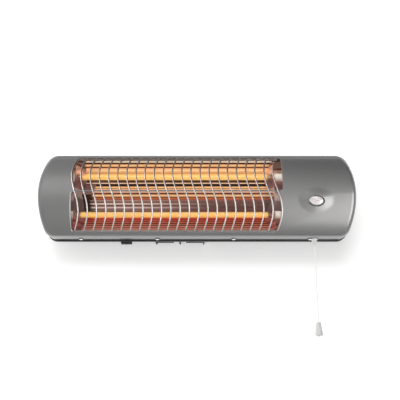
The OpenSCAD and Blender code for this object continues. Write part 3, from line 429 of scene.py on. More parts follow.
# Tube along a path: rings of a radius, square to the path, with one side turned to a fixed direction
def tubePoints(path, radius, side, sides):
    d = np.gradient(path, axis=0)
    d /= np.linalg.norm(d, axis=1, keepdims=True)
    u = np.cross(d, side)
    u /= np.linalg.norm(u, axis=1, keepdims=True)
    w = np.cross(d, u)
    a = np.linspace(0, 2 * np.pi, sides, endpoint=False)
    ring = np.cos(a)[None, :, None] * u[:, None] + np.sin(a)[None, :, None] * w[:, None]
    return path[:, None] + radius * ring


# Merges points closer than a distance, closes what is open and turns the faces outwards
def finishMesh(obj, merge=0.00001, sharp=None):
    b = bmesh.new()
    b.from_mesh(obj.data)
    bmesh.ops.remove_doubles(b, verts=b.verts, dist=merge)
    holes = [e for e in b.edges if e.is_boundary]
    if holes:
        bmesh.ops.holes_fill(b, edges=holes, sides=64)
    bmesh.ops.recalc_face_normals(b, faces=b.faces)
    b.to_mesh(obj.data)
    b.free()
    if sharp is not None:
        obj.data.set_sharp_from_angle(angle=math.radians(sharp))
    return obj


# Joins pieces into one mesh
def joined(name, parts):
    b = bmesh.new()
    for p in parts:
        b.from_mesh(p.data)
    mesh = parts[0].data
    b.to_mesh(mesh)
    b.free()
    for p in parts[1:]:
        bpy.data.objects.remove(p)
    parts[0].name = name
    mesh.name = name
    return parts[0]


# Pull cord, from the switch's stem straight down into the knob: a tube of one radius on a straight line
cordSettings = {"x": 205.0, "y": -52.0, "top": -86.1, "diameter": 1.8, "into": 3.5, "drop": 129.5,
    "rows": 140, "sides": 14}


# Route for the cord's length every 5 mm, and a finer one for its tube
def addCord(c):
    length = c["drop"] + c["into"]

    # Points straight below the cord's top
    def downLine(z):
        return np.stack([np.full(len(z), c["x"]), np.full(len(z), c["y"]), z + c["top"]], -1) * mm

    path = downLine(-np.concatenate([[0.0, 4.0], np.arange(8.0, length + 1, 5.0)]))
    fine = downLine(np.linspace(0, -length, c["rows"]))
    turn = tubePoints(fine, c["diameter"] / 2 * mm, (0, 1, 0), c["sides"])
    along = np.linspace(0, length / 2, c["rows"])
    uv = np.stack(np.meshgrid(along, np.arange(c["sides"]) / c["sides"] * 2, indexing="ij"), -1)
    obj = meshPiece("cordTube", turn, gridFaces(c["rows"], c["sides"], True), "cord", True, uv)
    return finishMesh(obj), path


cordTube, cordPath = addCord(cordSettings)


# Bell knob, turned: the skirt's radius grows from shoulder to foot as 1 - (1 - s) to a power, less a dip
# between its ribs, which is a cosine cut off at 0
knobSettings = {"neck": 2.9, "shoulder": 3.9, "foot": 6.4, "shoulderAt": 2.2, "length": 22.5, "ribs": 9,
    "ribDepth": 0.4, "nub": 2.5, "nubL": 1.4, "swell": 1.35, "footL": 0.8, "bore": 1.0, "boreTop": 3.4,
    "rows": 160}


def addKnob(k, c):
    s = np.linspace(0, 1, k["rows"])
    skirtR = k["shoulder"] + (k["foot"] - k["shoulder"]) * (1 - (1 - s) ** k["swell"])
    ribs = np.clip(np.cos(2 * np.pi * (s * k["ribs"] + 0.5)), 0, 1) ** 1.5
    skirtR -= k["ribDepth"] * ribs * (s > 0.1) * (s < 0.96)
    skirtZ = -k["shoulderAt"] - (k["length"] - k["footL"] - k["shoulderAt"]) * s
    neck = [(k["bore"], -k["boreTop"]), (k["bore"], 0.0), (k["neck"] * 0.75, 0.0), (k["neck"], -0.4),
        (k["shoulder"] - 0.35, -1.1)]
    low, foot = -k["length"], k["foot"]
    base = [(foot - 0.2, low + 0.25), (foot - 0.9, low), (k["nub"], low), (k["nub"], low - k["nubL"] * 0.6),
        (k["nub"] * 0.75, low - k["nubL"]), (0.01, low - k["nubL"])]
    profile = neck + list(zip(skirtR, skirtZ)) + base
    return turned("knobBell", profile, (c["x"], c["y"], c["top"] - c["drop"]), "z", "ivoryPlastic", 50)


knob = addKnob(knobSettings, cordSettings)
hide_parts("pull_knob")
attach(knob, "cord")
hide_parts("pull_cord")
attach(cordTube, "cord")
print("cord and knob made")


# Front cover: a curved front with rolled edges, arched ends, two windows and a boss round the lamp
coverSettings = {
    "bodyW": 544.0, "bodyH": 146.0, "back": -42.0, "crown": -104.0, "crownR": 108.0, "edgeR": 8.0,
    "endR": 200.0, "cornerR": 16.0, "cornerUp": 0.4, "rollR": 9.0, "sheet": 1.0,
    "winLeft": -213.3, "winRight": 146.0, "winH": 132.0, "barH": 2.6, "corner": 4.0,
    "firstX": -208.0, "lastX": 137.4, "edgeOut": 1.5, "waveA": 6.9, "waveL": 136.0,
    "lampX": 201.5, "lampZ": -15.5, "bossW": 62.0, "bossH": 44.0, "bossRise": 2.5,
    "rollCols": 8, "cols": (16, 46, 66), "windowRows": 38, "edgeRows": 9, "lipRows": 6,
}


# Half width of the housing at a height: the end arc, and the corner's arc near the top and bottom
def outlineAt(z, c):
    z = np.abs(z)
    endX = c["bodyW"] / 2 - c["endR"]
    cornerZ = c["bodyH"] / 2 + c["cornerUp"] - c["cornerR"]
    cornerX = endX + math.sqrt((c["endR"] - c["cornerR"]) ** 2 - cornerZ ** 2)
    zSplit = cornerZ * c["endR"] / (c["endR"] - c["cornerR"])
    arc = endX + np.sqrt(np.maximum(c["endR"] ** 2 - z ** 2, 0))
    small = cornerX + np.sqrt(np.maximum(c["cornerR"] ** 2 - (z - cornerZ) ** 2, 0))
    return np.where(z < zSplit, arc, small)


# Sideways swing of the guard's wave at an angle round the front's curve: a sine of the arc's length
def swingAt(a, c):
    return -c["waveA"] * np.sin(2 * np.pi * a * c["crownR"] / c["waveL"])


# Left and right edge of the windows at a height: straight with round corners, or waved as the guard is
def windowEdges(z, c):
    half, bar, r = c["winH"] / 2, c["barH"] / 2, c["corner"]
    inside = np.clip(np.abs(z), bar, half)
    gap = np.minimum(half - inside, inside - bar)
    rounding = r - np.sqrt(np.maximum(r ** 2 - np.maximum(r - gap, 0) ** 2, 0))
    a = np.arcsin(inside / c["crownR"])
    upL = c["firstX"] + c["edgeOut"] + swingAt(a, c)
    upR = c["winRight"] - rounding
    lowL = c["winLeft"] + rounding
    lowR = c["lastX"] - c["edgeOut"] + swingAt(-a, c)
    share = np.clip((z / bar + 1) / 2, 0, 1)
    return lowL + (upL - lowL) * share, lowR + (upR - lowR) * share


# Depth and height of the cover's rows: an arc of the crown's radius, with an arc of the edge's at each end
def coverRows(c):
    half, bar = c["winH"] / 2, c["barH"] / 2
    cy = c["crown"] + c["crownR"]
    ez = c["bodyH"] / 2 - c["edgeR"]
    ey = cy - math.sqrt((c["crownR"] - c["edgeR"]) ** 2 - ez ** 2)
    meet = math.asin(ez / (c["crownR"] - c["edgeR"]))
    near = np.linspace(0.3, 4, 6)
    window = np.concatenate([[half], half - near, np.linspace(half - 5.5, bar + 5.5, c["windowRows"]),
        bar + near[::-1], [bar]])
    top = np.linspace(c["crownR"] * math.sin(meet), half, 4)[:-1]
    zCrown = np.concatenate([top, window, [0.0], -window[::-1], -top[::-1]])
    a = np.linspace(math.pi / 2, meet, c["edgeRows"] + 1)[:-1]
    yEdge, zEdge = ey - c["edgeR"] * np.cos(a), ez + c["edgeR"] * np.sin(a)
    y = np.concatenate([yEdge, cy - c["crownR"] * np.cos(np.arcsin(zCrown / c["crownR"])), yEdge[::-1]])
    return y, np.concatenate([zEdge, zCrown, -zEdge[::-1]])


# Surface of rows and columns: each row runs from one end of the outline to the other, with a quarter roll at
# each end, and the boss adds bossRise times (1 - s) to the power 1.5, s being the squared share of its oval
def addCover(c):
    half, bar = c["winH"] / 2, c["barH"] / 2
    yRow, zRow = coverRows(c)
    left, right = windowEdges(zRow, c)
    phi = np.linspace(0, np.pi / 2, c["rollCols"] + 1)
    inwards = c["rollR"] * (1 - np.cos(phi))[None]
    back = c["rollR"] * (1 - np.sin(phi))
    u1, u2, u3 = (np.linspace(0, 1, n + 1)[1:][None] for n in c["cols"])
    o, l, r = outlineAt(zRow, c)[:, None], left[:, None], right[:, None]
    flatL, flatR = -o + c["rollR"], o - c["rollR"]
    x = np.concatenate([-o + inwards, flatL + (l - flatL) * u1, l + (r - l) * u2, r + (flatR - r) * u3,
        (o - inwards)[:, ::-1][:, 1:]], 1)
    y = yRow[:, None] + np.concatenate([back, np.zeros(sum(c["cols"])), back[::-1][1:]])[None]
    z = zRow[:, None] + 0 * x
    oval = ((x - c["lampX"]) / (c["bossW"] / 2)) ** 2 + ((z - c["lampZ"]) / (c["bossH"] / 2)) ** 2
    rise = c["bossRise"] * np.maximum(1 - oval, 0) ** 1.5
    lean = np.arcsin(np.clip(z / c["crownR"], -1, 1))
    y = y - rise * np.cos(lean)
    z = z + rise * np.sin(lean)
    rows, cols = x.shape
    w = np.linspace(0, 1, c["lipRows"] + 1)[1:]

    # a lip goes straight back from the first or the last row
    def lip(row):
        depth = y[row][None] + w[:, None] * (c["back"] - y[row][None])
        return np.broadcast_arrays(x[row][None], depth, z[row][None])

    grid = np.stack([np.concatenate([a[::-1], v, b]) for a, v, b in zip(lip(0), (x, y, z), lip(-1))], -1)
    allRows = rows + 2 * len(w)
    i = np.arange(allRows - 1)[:, None]
    j = np.arange(cols - 1)[None]
    zMiddle = np.abs(grid[:-1, 0, 2] + grid[1:, 0, 2])[:, None] / 2
    inRows = (zMiddle < half) & (zMiddle > bar) & (i >= len(w)) & (i < len(w) + rows - 1)
    first = c["rollCols"] + c["cols"][0]
    inCols = (j >= first) & (j < first + c["cols"][1])
    pts = [grid.reshape(-1, 3)]
    faces = [gridFaces(allRows, cols, keep=~(inRows & inCols))]
    base = len(pts[0])
    # the ends go straight back from the first and the last column
    for side in (0, -1):
        sx, sy, sz = (v[:, side][:, None] for v in (x, y, z))
        depth = sy + np.concatenate([[0], w])[None] * (c["back"] - sy)
        pts.append(np.stack(np.broadcast_arrays(sx, depth, sz), -1).reshape(-1, 3))
        faces.append(gridFaces(rows, len(w) + 1, flip=(side == 0)) + base)
        base += rows * (len(w) + 1)
    return meshPiece("coverShell", np.concatenate(pts) * mm, np.concatenate(faces), "greyPaint")


# Welds a sheet, turns its faces to the front and gives it a wall behind them
def weldAndThicken(obj, thickness):
    b = bmesh.new()
    b.from_mesh(obj.data)
    bmesh.ops.remove_doubles(b, verts=b.verts, dist=0.00002)
    bmesh.ops.recalc_face_normals(b, faces=b.faces)
    b.faces.ensure_lookup_table()
    lead = sum((f.normal.dot((0, -1, 0)) * f.calc_area() for f in b.faces))
    if lead < 0:
        bmesh.ops.reverse_faces(b, faces=b.faces)
    b.to_mesh(obj.data)
    b.free()
    solid = obj.modifiers.new("thickness", "SOLIDIFY")
    solid.thickness = thickness
    solid.offset = -1
    return obj


cover = weldAndThicken(addCover(coverSettings), coverSettings["sheet"] * mm)
cover.data.materials.append(finishes["shellInside"])
cover.data.materials.append(finishes["cutEdge"])
cover.modifiers["thickness"].material_offset = 1
cover.modifiers["thickness"].material_offset_rim = 2
cover.data.set_sharp_from_angle(angle=math.radians(50))
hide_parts("front_cover")
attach(cover, "heater")
print("cover made:", len(cover.data.polygons), "faces")


# Screws along both lips: a washer face, a domed head with a socket, and a shank into the panel's lug
screwSettings = {"places": (-202.2, -69.2, 63.8, 196.8), "y": -55.0, "seat": 73.05, "shankR": 1.5,
    "into": 3.2, "washerR": 4.0, "washerH": 0.5, "headR": 3.4, "headH": 2.4, "socketR": 1.3, "socketH": 1.1,
    "sides": 24}


# Turned profile; the dome is a quarter of an ellipse from the washer face up to the socket
def addScrews(k):
    u = np.linspace(0, 1, 8) * np.pi / 2
    wide, high = k["headR"] - k["socketR"], k["headH"] - k["washerH"]
    dome = list(zip(k["socketR"] + wide * np.cos(u), k["washerH"] + high * np.sin(u)))
    floor = k["headH"] - k["socketH"]
    profile = [(0.01, -k["into"]), (k["shankR"], -k["into"]), (k["shankR"], 0.0), (k["washerR"], 0.0),
        (k["washerR"], k["washerH"])] + dome + [(k["socketR"] - 0.2, k["headH"]), (k["socketR"] - 0.5, floor),
        (0.01, floor - 0.2)]
    parts = []
    for sign in (1, -1):
        for x in k["places"]:
            place = (x, k["y"], sign * k["seat"])
            mirrored = [(r, sign * h) for r, h in profile]
            parts.append(turned("part", mirrored, place, "z", "screwHead", 35, k["sides"]))
    return joined("lipScrews", parts)


screws = addScrews(screwSettings)
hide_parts("cover_screws")
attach(screws, "heater")


# Guard: waved wires just proud of the cover, tucked under its edges at the top and bottom
guardSettings = {"count": 23, "pitch": 15.7, "wireD": 2.6, "gap": 0.1, "off": 1.1, "dive": 5.0, "end": 2.6,
    "rows": 90, "sides": 12, "merge": 0.000001}


# Wire's path: a radius that eases from outside the front's arc to inside it, and a sine of its length aside
def addGuard(g, c):
    cy = c["crown"] + c["crownR"]
    proud = c["crownR"] + g["off"] + g["gap"]
    under = c["crownR"] - c["sheet"] - g["gap"] - g["off"]
    window = math.asin(c["winH"] / 2 / c["crownR"])
    diveEnd = window - g["gap"] / c["crownR"]
    diveStart = window - g["dive"] / c["crownR"]
    last = window + g["end"] / c["crownR"]
    a = np.linspace(-last, last, g["rows"])
    s = np.clip((np.abs(a) - diveStart) / (diveEnd - diveStart), 0, 1)
    r = proud - (proud - under) * s * s * (3 - 2 * s)
    swing = swingAt(a, c)
    points, faces = [], []
    quads = gridFaces(g["rows"], g["sides"], True)
    for k in range(g["count"]):
        path = np.stack([c["firstX"] + k * g["pitch"] + swing, cy - r * np.cos(a), r * np.sin(a)], -1) * mm
        points.append(tubePoints(path, g["wireD"] / 2 * mm, (1, 0, 0), g["sides"]).reshape(-1, 3))
        faces.append(quads + k * g["rows"] * g["sides"])
    obj = meshPiece("guardMesh", np.concatenate(points), np.concatenate(faces), "wire")
    return finishMesh(obj, merge=g["merge"], sharp=60)


guard = addGuard(guardSettings, coverSettings)
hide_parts("guard_wires")
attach(guard, "heater")
print("guard made")


# Reflectors: a sheet from the ridge down to the floor and up to the outer edge, with pressed flutes
reflectorSettings = {
    "ridgeZ": 0.8, "edgeZ": 62.0, "ridgeIn": 21.0, "edgeIn": 29.0, "floorIn": 56.0, "tubeZ": 34.0,
    "floorHalf": 3.0, "curve": 1.6, "flutes": 5, "fluteH": 0.9, "centreX": -33.5, "length": 331.0,
    "sheet": 0.6, "rows": 141, "cols": 24,
}


# Wall's depth goes to the floor as 1 - (1 - s) to a power, less a flute as high as the size of a sine
def reflectorProfile(r, c):
    floorY = c["crown"] + r["floorIn"]
    s = np.linspace(0, 1, r["rows"])
    flute = np.abs(np.sin(np.pi * r["flutes"] * s)) * r["fluteH"]

    # One wall, from its edge to the floor
    def wall(edgeZ, edgeIn, floorZ):
        edgeY = c["crown"] + edgeIn
        return edgeY + (floorY - edgeY) * (1 - (1 - s) ** r["curve"]) - flute, edgeZ + (floorZ - edgeZ) * s

    y1, z1 = wall(r["ridgeZ"], r["ridgeIn"], r["tubeZ"] - r["floorHalf"])
    y2, z2 = wall(r["edgeZ"], r["edgeIn"], r["tubeZ"] + r["floorHalf"])
    across = np.concatenate([s * 0.5, 1 - s[::-1] * 0.5])
    return np.concatenate([y1, y2[::-1]]), np.concatenate([z1, z2[::-1]]), across


# Sheet: the profile carried straight along X, and turned over for the lower one
def addReflector(name, sign, r, c):
    y, z, across = reflectorProfile(r, c)
    x = r["centreX"] + np.linspace(-r["length"] / 2, r["length"] / 2, r["cols"])
    pts = np.stack(np.broadcast_arrays(x[None], y[:, None], sign * z[:, None]), -1) * mm
    uv = np.stack(np.broadcast_arrays((x[None] - x[0]) / (x[-1] - x[0]), across[:, None]), -1)
    obj = meshPiece(name, pts, gridFaces(len(y), len(x)), name, True, uv)
    return weldAndThicken(obj, r["sheet"] * mm)


# Painted reflections of the glowing tube and painted shade in bands, by the share of the way from its ridge
# (0) over its floor (0.5) to its outer edge (1), and the lower one's grey lines of painted highlight, each
#     with its brightness
paintedReflectionBands = {
    "upper": [
        (0.0, (0.1, 0.02, 0.01)), (0.03, (0.14, 0.03, 0.015)), (0.05, (0.85, 0.58, 0.46)),
        (0.2, (0.85, 0.6, 0.42)), (0.235, (0.8, 0.55, 0.35)), (0.248, (0.14, 0.03, 0.015)),
        (0.262, (0.14, 0.03, 0.015)), (0.28, (0.9, 0.6, 0.3)), (0.335, (0.88, 0.6, 0.33)),
        (0.353, (0.03, 0.012, 0.01)), (0.445, (0.025, 0.01, 0.01)), (0.465, (0.9, 0.74, 0.58)),
        (0.485, (0.88, 0.72, 0.56)), (0.497, (0.04, 0.012, 0.008)), (0.53, (0.05, 0.012, 0.004)),
        (0.57, (0.6, 0.3, 0.08)), (0.672, (0.85, 0.5, 0.2)), (0.681, (0.45, 0.2, 0.06)),
        (0.695, (0.45, 0.2, 0.06)), (0.704, (0.84, 0.5, 0.25)), (0.77, (0.92, 0.66, 0.4)),
        (0.826, (0.86, 0.5, 0.28)), (0.838, (0.09, 0.018, 0.01)), (0.863, (0.1, 0.02, 0.01)),
        (0.876, (0.9, 0.6, 0.34)), (0.92, (0.88, 0.52, 0.26)), (0.932, (0.03, 0.008, 0.005)),
        (0.963, (0.04, 0.01, 0.006)), (0.974, (0.95, 0.86, 0.74)), (1.0, (0.95, 0.82, 0.7))],
    "lower": [
        (0.0, (0.35, 0.09, 0.06)), (0.008, (0.9, 0.6, 0.3)), (0.04, (0.9, 0.64, 0.36)),
        (0.052, (0.2, 0.08, 0.05)), (0.067, (0.2, 0.08, 0.05)), (0.078, (0.5, 0.17, 0.08)),
        (0.1, (0.4, 0.13, 0.07)), (0.115, (0.2, 0.11, 0.11)), (0.2, (0.14, 0.1, 0.1)),
        (0.4, (0.12, 0.06, 0.06)), (0.46, (0.13, 0.02, 0.015)), (0.52, (0.45, 0.05, 0.03)),
        (0.545, (0.26, 0.03, 0.02)), (0.565, (0.6, 0.16, 0.1)), (0.578, (0.1, 0.015, 0.01)),
        (0.603, (0.1, 0.015, 0.01)), (0.617, (0.6, 0.16, 0.1)), (0.661, (0.62, 0.18, 0.12)),
        (0.673, (0.04, 0.006, 0.004)), (0.719, (0.04, 0.006, 0.004)), (0.73, (1.0, 0.42, 0.3)),
        (0.75, (0.9, 0.3, 0.2)), (0.762, (0.03, 0.005, 0.003)), (0.81, (0.03, 0.005, 0.003)),
        (0.822, (1.0, 0.42, 0.3)), (0.857, (0.9, 0.3, 0.21)), (0.869, (0.03, 0.005, 0.003)),
        (0.921, (0.03, 0.005, 0.003)), (0.932, (1.0, 0.5, 0.38)), (0.962, (0.84, 0.34, 0.26)),
        (0.975, (0.06, 0.015, 0.01)), (1.0, (0.4, 0.18, 0.14))],
    "paintedHighlightLines": [
        (0.12, 0.0), (0.135, 0.3), (0.15, 0.0), (0.175, 0.0), (0.19, 0.6), (0.205, 0.6), (0.22, 0.02),
        (0.255, 0.0), (0.275, 0.62), (0.29, 0.62), (0.31, 0.03), (0.33, 0.0), (0.345, 0.3), (0.36, 0.0)],
    "paintedHighlightFade": (0.75, 0.2), "endFade": (0.045, 0.062), "endSide": (0.41, 0.46),
    # end: colours of the painted shade near the left end, where the end plate's shadow falls
    "end": {"upper": (0.2, 0.11, 0.1), "lower": (0.035, 0.018, 0.016)},
    "waver": 0.012, "grain": 60, "glow": 0.4, "rough": 0.3, "metallic": 0.6,
}


# Sheet with painted reflections and painted shade in bands across its profile, painted shade near its left
# end and a painted glow; the lower one has grey lines of painted highlight that fade to the right
def paintedReflectionFinish(name, b, withLines):
    m, t, s = newMaterial(name)
    parts = nodeOf(t, "SeparateXYZ", {0: nodeOf(t, "UVMap", uv_map="along")}, None)
    along = parts[0]
    across = waverOf(t, parts[1], noiseOf(t, 9, 3.0, 0.5, (1, 0, 0)), b["waver"])
    endShade = times(t, easeOf(t, along, b["endFade"][1], b["endFade"][0]),
        easeOf(t, across, b["endSide"][1], b["endSide"][0]))
    bands = mixOf(t, endShade, rampOf(t, across, b[name]), (*b["end"][name], 1))
    if withLines:
        highlightGreys = rampOf(t, across, [(at, (v, v * 1.02, v)) for at, v in b["paintedHighlightLines"]])
        start = easeOf(t, along, b["endFade"][0] * 0.6, b["endFade"][0])
        fade = times(t, easeOf(t, along, *b["paintedHighlightFade"]), start)
        bands = mixOf(t, fade, bands, highlightGreys, "ADD")
    fine = noiseOf(t, b["grain"], 4.0, 0.6, (1, 8, 8))
    shades = rampOf(t, fine, [(0.3, (0.86, 0.86, 0.86)), (0.7, (1, 1, 1))])
    colour = mixOf(t, 1.0, bands, shades, "MULTIPLY")
    # The colour also glows: painted light
    setInputs(t, s, {"Base Color": colour, "Emission Color": colour, "Emission Strength": b["glow"],
        "Metallic": b["metallic"], "Roughness": roughOf(t, fine, b["rough"], 0.15)})
    return m


finishes["reflectorUpper"] = paintedReflectionFinish("upper", paintedReflectionBands, False)
finishes["reflectorLower"] = paintedReflectionFinish("lower", paintedReflectionBands, True)
for name, sign, node in (("reflectorUpper", 1, "upper_reflector"), ("reflectorLower", -1, "lower_reflector")):
    piece = addReflector(name, sign, reflectorSettings, coverSettings)
    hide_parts(node)
    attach(piece, "heater")
print("reflectors made")


# Tubes: milky quartz round a wound coil, in ceramic caps
tubeSettings = {
    "x": -39.5, "y": -70.0, "z": 34.0, "tubeR": 5.0, "wall": 1.0, "half": 182.2, "edge": 0.2,
    "rows": 20, "sides": 40, "coilHalf": 163.0, "coilR": 2.75, "wireR": 0.45, "pitch": 1.7, "perTurn": 16,
    "wireSides": 6, "tailR": 0.8, "tailRows": 8, "tailSides": 10, "capIn": 174.5, "capL": 18.0, "capR": 6.7,
    "neckR": 4.0, "neckL": 7.0, "play": 0.15, "leadR": 1.5,
}


# Wound coil: a helix along X, with a straight tail at each end
def addCoil(name, sign, t):
    turns = 2 * t["coilHalf"] / t["pitch"]
    n = int(turns * t["perTurn"])
    u = np.linspace(-1, 1, n)
    path = np.stack([t["x"] + u * t["coilHalf"], t["y"] + t["coilR"] * np.cos(np.pi * turns * u),
        sign * t["z"] + t["coilR"] * np.sin(np.pi * turns * u)], -1) * mm
    points = [tubePoints(path, t["wireR"] * mm, (1, 0, 0), t["wireSides"]).reshape(-1, 3)]
    faces = [gridFaces(n, t["wireSides"], True)]
    rows, sides = t["tailRows"], t["tailSides"]
    for k, e in enumerate((-1, 1)):
        x = t["x"] + np.linspace(t["coilHalf"] - 1.5, t["capIn"] + t["capL"], rows) * e
        tail = np.stack([x, np.full(rows, t["y"]), np.full(rows, sign * t["z"])], -1) * mm
        points.append(tubePoints(tail, t["tailR"] * mm, (0, 1, 0), sides).reshape(-1, 3))
        faces.append(gridFaces(rows, sides, True) + n * t["wireSides"] + k * rows * sides)
    return meshPiece(name, np.concatenate(points), np.concatenate(faces), "coil")


# Open tube, turned: out along the outer wall and back along the inner one, with its edges eased
def addQuartz(name, sign, t):
    h, r, i, e = t["half"], t["tubeR"], t["tubeR"] - t["wall"], t["edge"]
    along = np.linspace(-h + 1, h - 1, t["rows"])
    profile = [(i, -h), (r - e, -h), (r, -h + e)] + [(r, x) for x in along] + [(r, h - e), (r - e, h), (i, h)]
    profile += [(i, x) for x in along[::-1]] + [(i, -h)]
    return turned(name, profile, (t["x"], t["y"], sign * t["z"]), "x", "quartz", 40, t["sides"])


# Caps, turned: a socket round the tube, a groove round the outside and a neck round the lead
def addCaps(name, sign, t):
    a, l, r, neck, bore = t["capIn"], t["capL"], t["capR"], t["neckR"], t["tubeR"] + t["play"]
    tip = a + l + t["neckL"]
    profile = [(bore, a + 8), (bore, a + 0.6), (t["tubeR"] + 0.7, a), (r - 0.7, a), (r, a + 0.7),
        (r, a + l * 0.55), (r - 0.5, a + l * 0.58), (r - 0.5, a + l * 0.66), (r, a + l * 0.7),
        (r, a + l - 0.8), (r - 0.8, a + l), (neck, a + l), (neck, tip - 0.5), (neck - 0.5, tip),
        (t["leadR"], tip), (t["leadR"], a + 8), (bore, a + 8)]
    place = (t["x"], t["y"], sign * t["z"])
    ends = [[(u, e * v) for u, v in profile] for e in (-1, 1)]
    return joined(name, [turned("part", end, place, "x", "ceramic", 35, t["sides"]) for end in ends])


for word, sign in (("upper", 1), ("lower", -1)):
    tube = addQuartz(word + "Quartz", sign, tubeSettings)
    coil = addCoil(word + "Coil", sign, tubeSettings)
    caps = addCaps(word + "Caps", sign, tubeSettings)
    for piece, ending, slot in ((tube, "_quartz_tube", "quartz"), (coil, "_heating_coil", "glowing_coil"),
            (caps, "_ceramic_caps", "ceramic")):
        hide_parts(word + ending)
        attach(piece, "heater")
print("tubes made")


# Lamp: an oval lens with a dome, in a raised rim; its frame leans with the front's curve
lensSettings = {"x": 201.5, "z": -17.4, "w": 22.4, "h": 13.8, "rim": 2.3, "rimLow": 2.6, "rimHigh": 4.7,
    "dome": 6.2, "foot": -2.0, "side": 4.9, "aside": (0.9, -0.7), "rows": 14, "sides": 96}
rimSettings = {"dark": (0.07, 0.066, 0.066), "light": (0.85, 0.84, 0.83), "lit": (-0.9, 0.43), "from": 0.62,
    "to": 0.92, "rough": 0.25, "grain": 400}


# Ellipse at a distance in or out of the lens's outline, as points round it
def ovalRing(l, grow):
    a = np.linspace(0, 2 * np.pi, l["sides"], endpoint=False)
    return np.stack([(l["w"] / 2 + grow) * np.cos(a), (l["h"] / 2 + grow) * np.sin(a)], -1)


# Flat points stood on the front's curve: turned with it at the lamp's height, and moved out along its radius
def onFront(flat, height, l, c):
    lean = math.asin(l["z"] / c["crownR"])
    out = c["crownR"] + height
    y = c["crown"] + c["crownR"] - out * math.cos(lean) + flat[..., 1] * math.sin(lean)
    z = out * math.sin(lean) + flat[..., 1] * math.cos(lean)
    return np.stack([l["x"] + flat[..., 0], y, z], -1) * mm


# Rings round the oval: the lens's dome falls as (1 - u) to a power, and the rim is one closed profile
def addLens(l, c):
    u = np.linspace(0.02, 1, l["rows"])
    domed = l["side"] + (l["dome"] - l["side"]) * (1 - (1 - u) ** 2.2)
    rings = [(0, l["foot"]), (0, l["side"])] + list(zip(-l["h"] / 2 * u * 0.98, domed))
    pts = np.stack([onFront(ovalRing(l, grow), h, l, c) for grow, h in rings])
    lens = finishMesh(meshPiece("lampLens", pts, gridFaces(len(pts), l["sides"], True), "lens"), sharp=50)
    r, low, high = l["rim"], l["rimLow"], l["rimHigh"]
    rim = [(0.9, low), (0.9, high - 1.3), (1.1, high - 1.4), (1.25, high - 0.5), (1.5, high),
        (r - 0.4, high - 0.2), (r - 0.1, high - 0.8), (r, high - 1.4), (r, low), (0.9, low)]
    pts = np.stack([onFront(ovalRing(l, grow) + l["aside"], h, l, c) for grow, h in rim])
    bezel = finishMesh(meshPiece("lampRim", pts, gridFaces(len(pts), l["sides"], True), "rim"), sharp=50)
    return lens, bezel


# Chromed rim: painted shade all round, and a painted highlight on the side it turns to the light, as a share
# that grows along one way across the oval
def rimFinish(k, l):
    m, t, s = newMaterial("rim")
    place = axesOf(t)
    aside = times(t, mathOf(t, "SUBTRACT", place[0], l["x"] * mm), k["lit"][0] * 2 / (l["w"] * mm))
    up = times(t, mathOf(t, "SUBTRACT", place[2], l["z"] * mm), k["lit"][1] * 2 / (l["h"] * mm))
    share = easeOf(t, plus(t, aside, up), k["from"], k["to"])
    setInputs(t, s, {"Base Color": rampOf(t, share, [(0.0, k["dark"]), (1.0, k["light"])]), "Metallic": 0.5,
        "Roughness": roughOf(t, noiseOf(t, k["grain"], 4.0), k["rough"]), "Coat Weight": 0.5,
        "Coat Roughness": 0.1})
    return m


finishes["rim"] = rimFinish(rimSettings, lensSettings)
lens, bezel = addLens(lensSettings, coverSettings)
for piece, node, slot in ((lens, "lamp_lens", "lens_plastic"), (bezel, "lamp_bezel", "lens_rim")):
    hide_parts(node)
    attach(piece, "heater")
print("lamp made")


# Cord bush, turned: a flange under the lip and a tapered nose, with the cord's bore through it
bushSettings = {"lip": -73.1, "flangeR": 6.2, "flangeH": 2.0, "noseL": 4.6, "noseR": 4.0, "bodyR": 4.5,
    "bore": 2.0, "up": -66.8}


def addBush(b, c):
    low = b["lip"] - b["flangeH"]
    tip = low - b["noseL"]
    profile = [(b["bore"], b["up"]), (b["bodyR"], b["up"]), (b["bodyR"], b["lip"]), (b["flangeR"], b["lip"]),
        (b["flangeR"], low + 0.5), (b["flangeR"] - 0.5, low), (b["bodyR"], low),
        (b["noseR"] + 0.1, tip + 0.6), (b["noseR"] - 0.6, tip), (b["bore"], tip), (b["bore"], b["up"])]
    return turned("bushTurned", profile, (c["x"], c["y"], 0), "z", "nylon", 35)


bush = addBush(bushSettings, cordSettings)
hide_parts("cord_bush")
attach(bush, "heater")


# Return spring of the switch: a helix, closer at its ends
springSettings = {"coilR": 4.0, "wireR": 0.5, "turns": 6.0, "travel": 10.0, "clear": 0.2, "perTurn": 24,
    "sides": 10, "merge": 0.000001}


def addSpring(k, c):
    low, high = (v[2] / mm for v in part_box("switch_spring"))
    low, high = low + k["wireR"], high - k["wireR"]
    u = np.linspace(0, 1, int(k["turns"]) * k["perTurn"])
    climb = 0.5 * (1 - np.cos(np.pi * u)) * 0.35 + u * 0.65
    a = 2 * np.pi * k["turns"] * u
    x, y = c["x"] + k["coilR"] * np.cos(a), c["y"] + k["coilR"] * np.sin(a)
    path = np.stack([x, y, low + (high - low) * climb], -1) * mm
    pts = tubePoints(path, k["wireR"] * mm, (0, 0, 1), k["sides"])
    obj = meshPiece("springCoil", pts, gridFaces(len(u), k["sides"], True), "springSteel")
    return finishMesh(obj, merge=k["merge"]), low - k["wireR"], high + k["wireR"]


spring, springLow, springHigh = addSpring(springSettings, cordSettings)
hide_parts("switch_spring")
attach(spring, "heater")
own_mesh(spring)


# Wall bracket: a copy of the solid whose ears end sooner under the hinge pin; what lies below a height is
# drawn up to it, to a share of its distance
bracketSettings = {"keepAbove": -72.6, "share": 0.3, "merge": 0.000005}


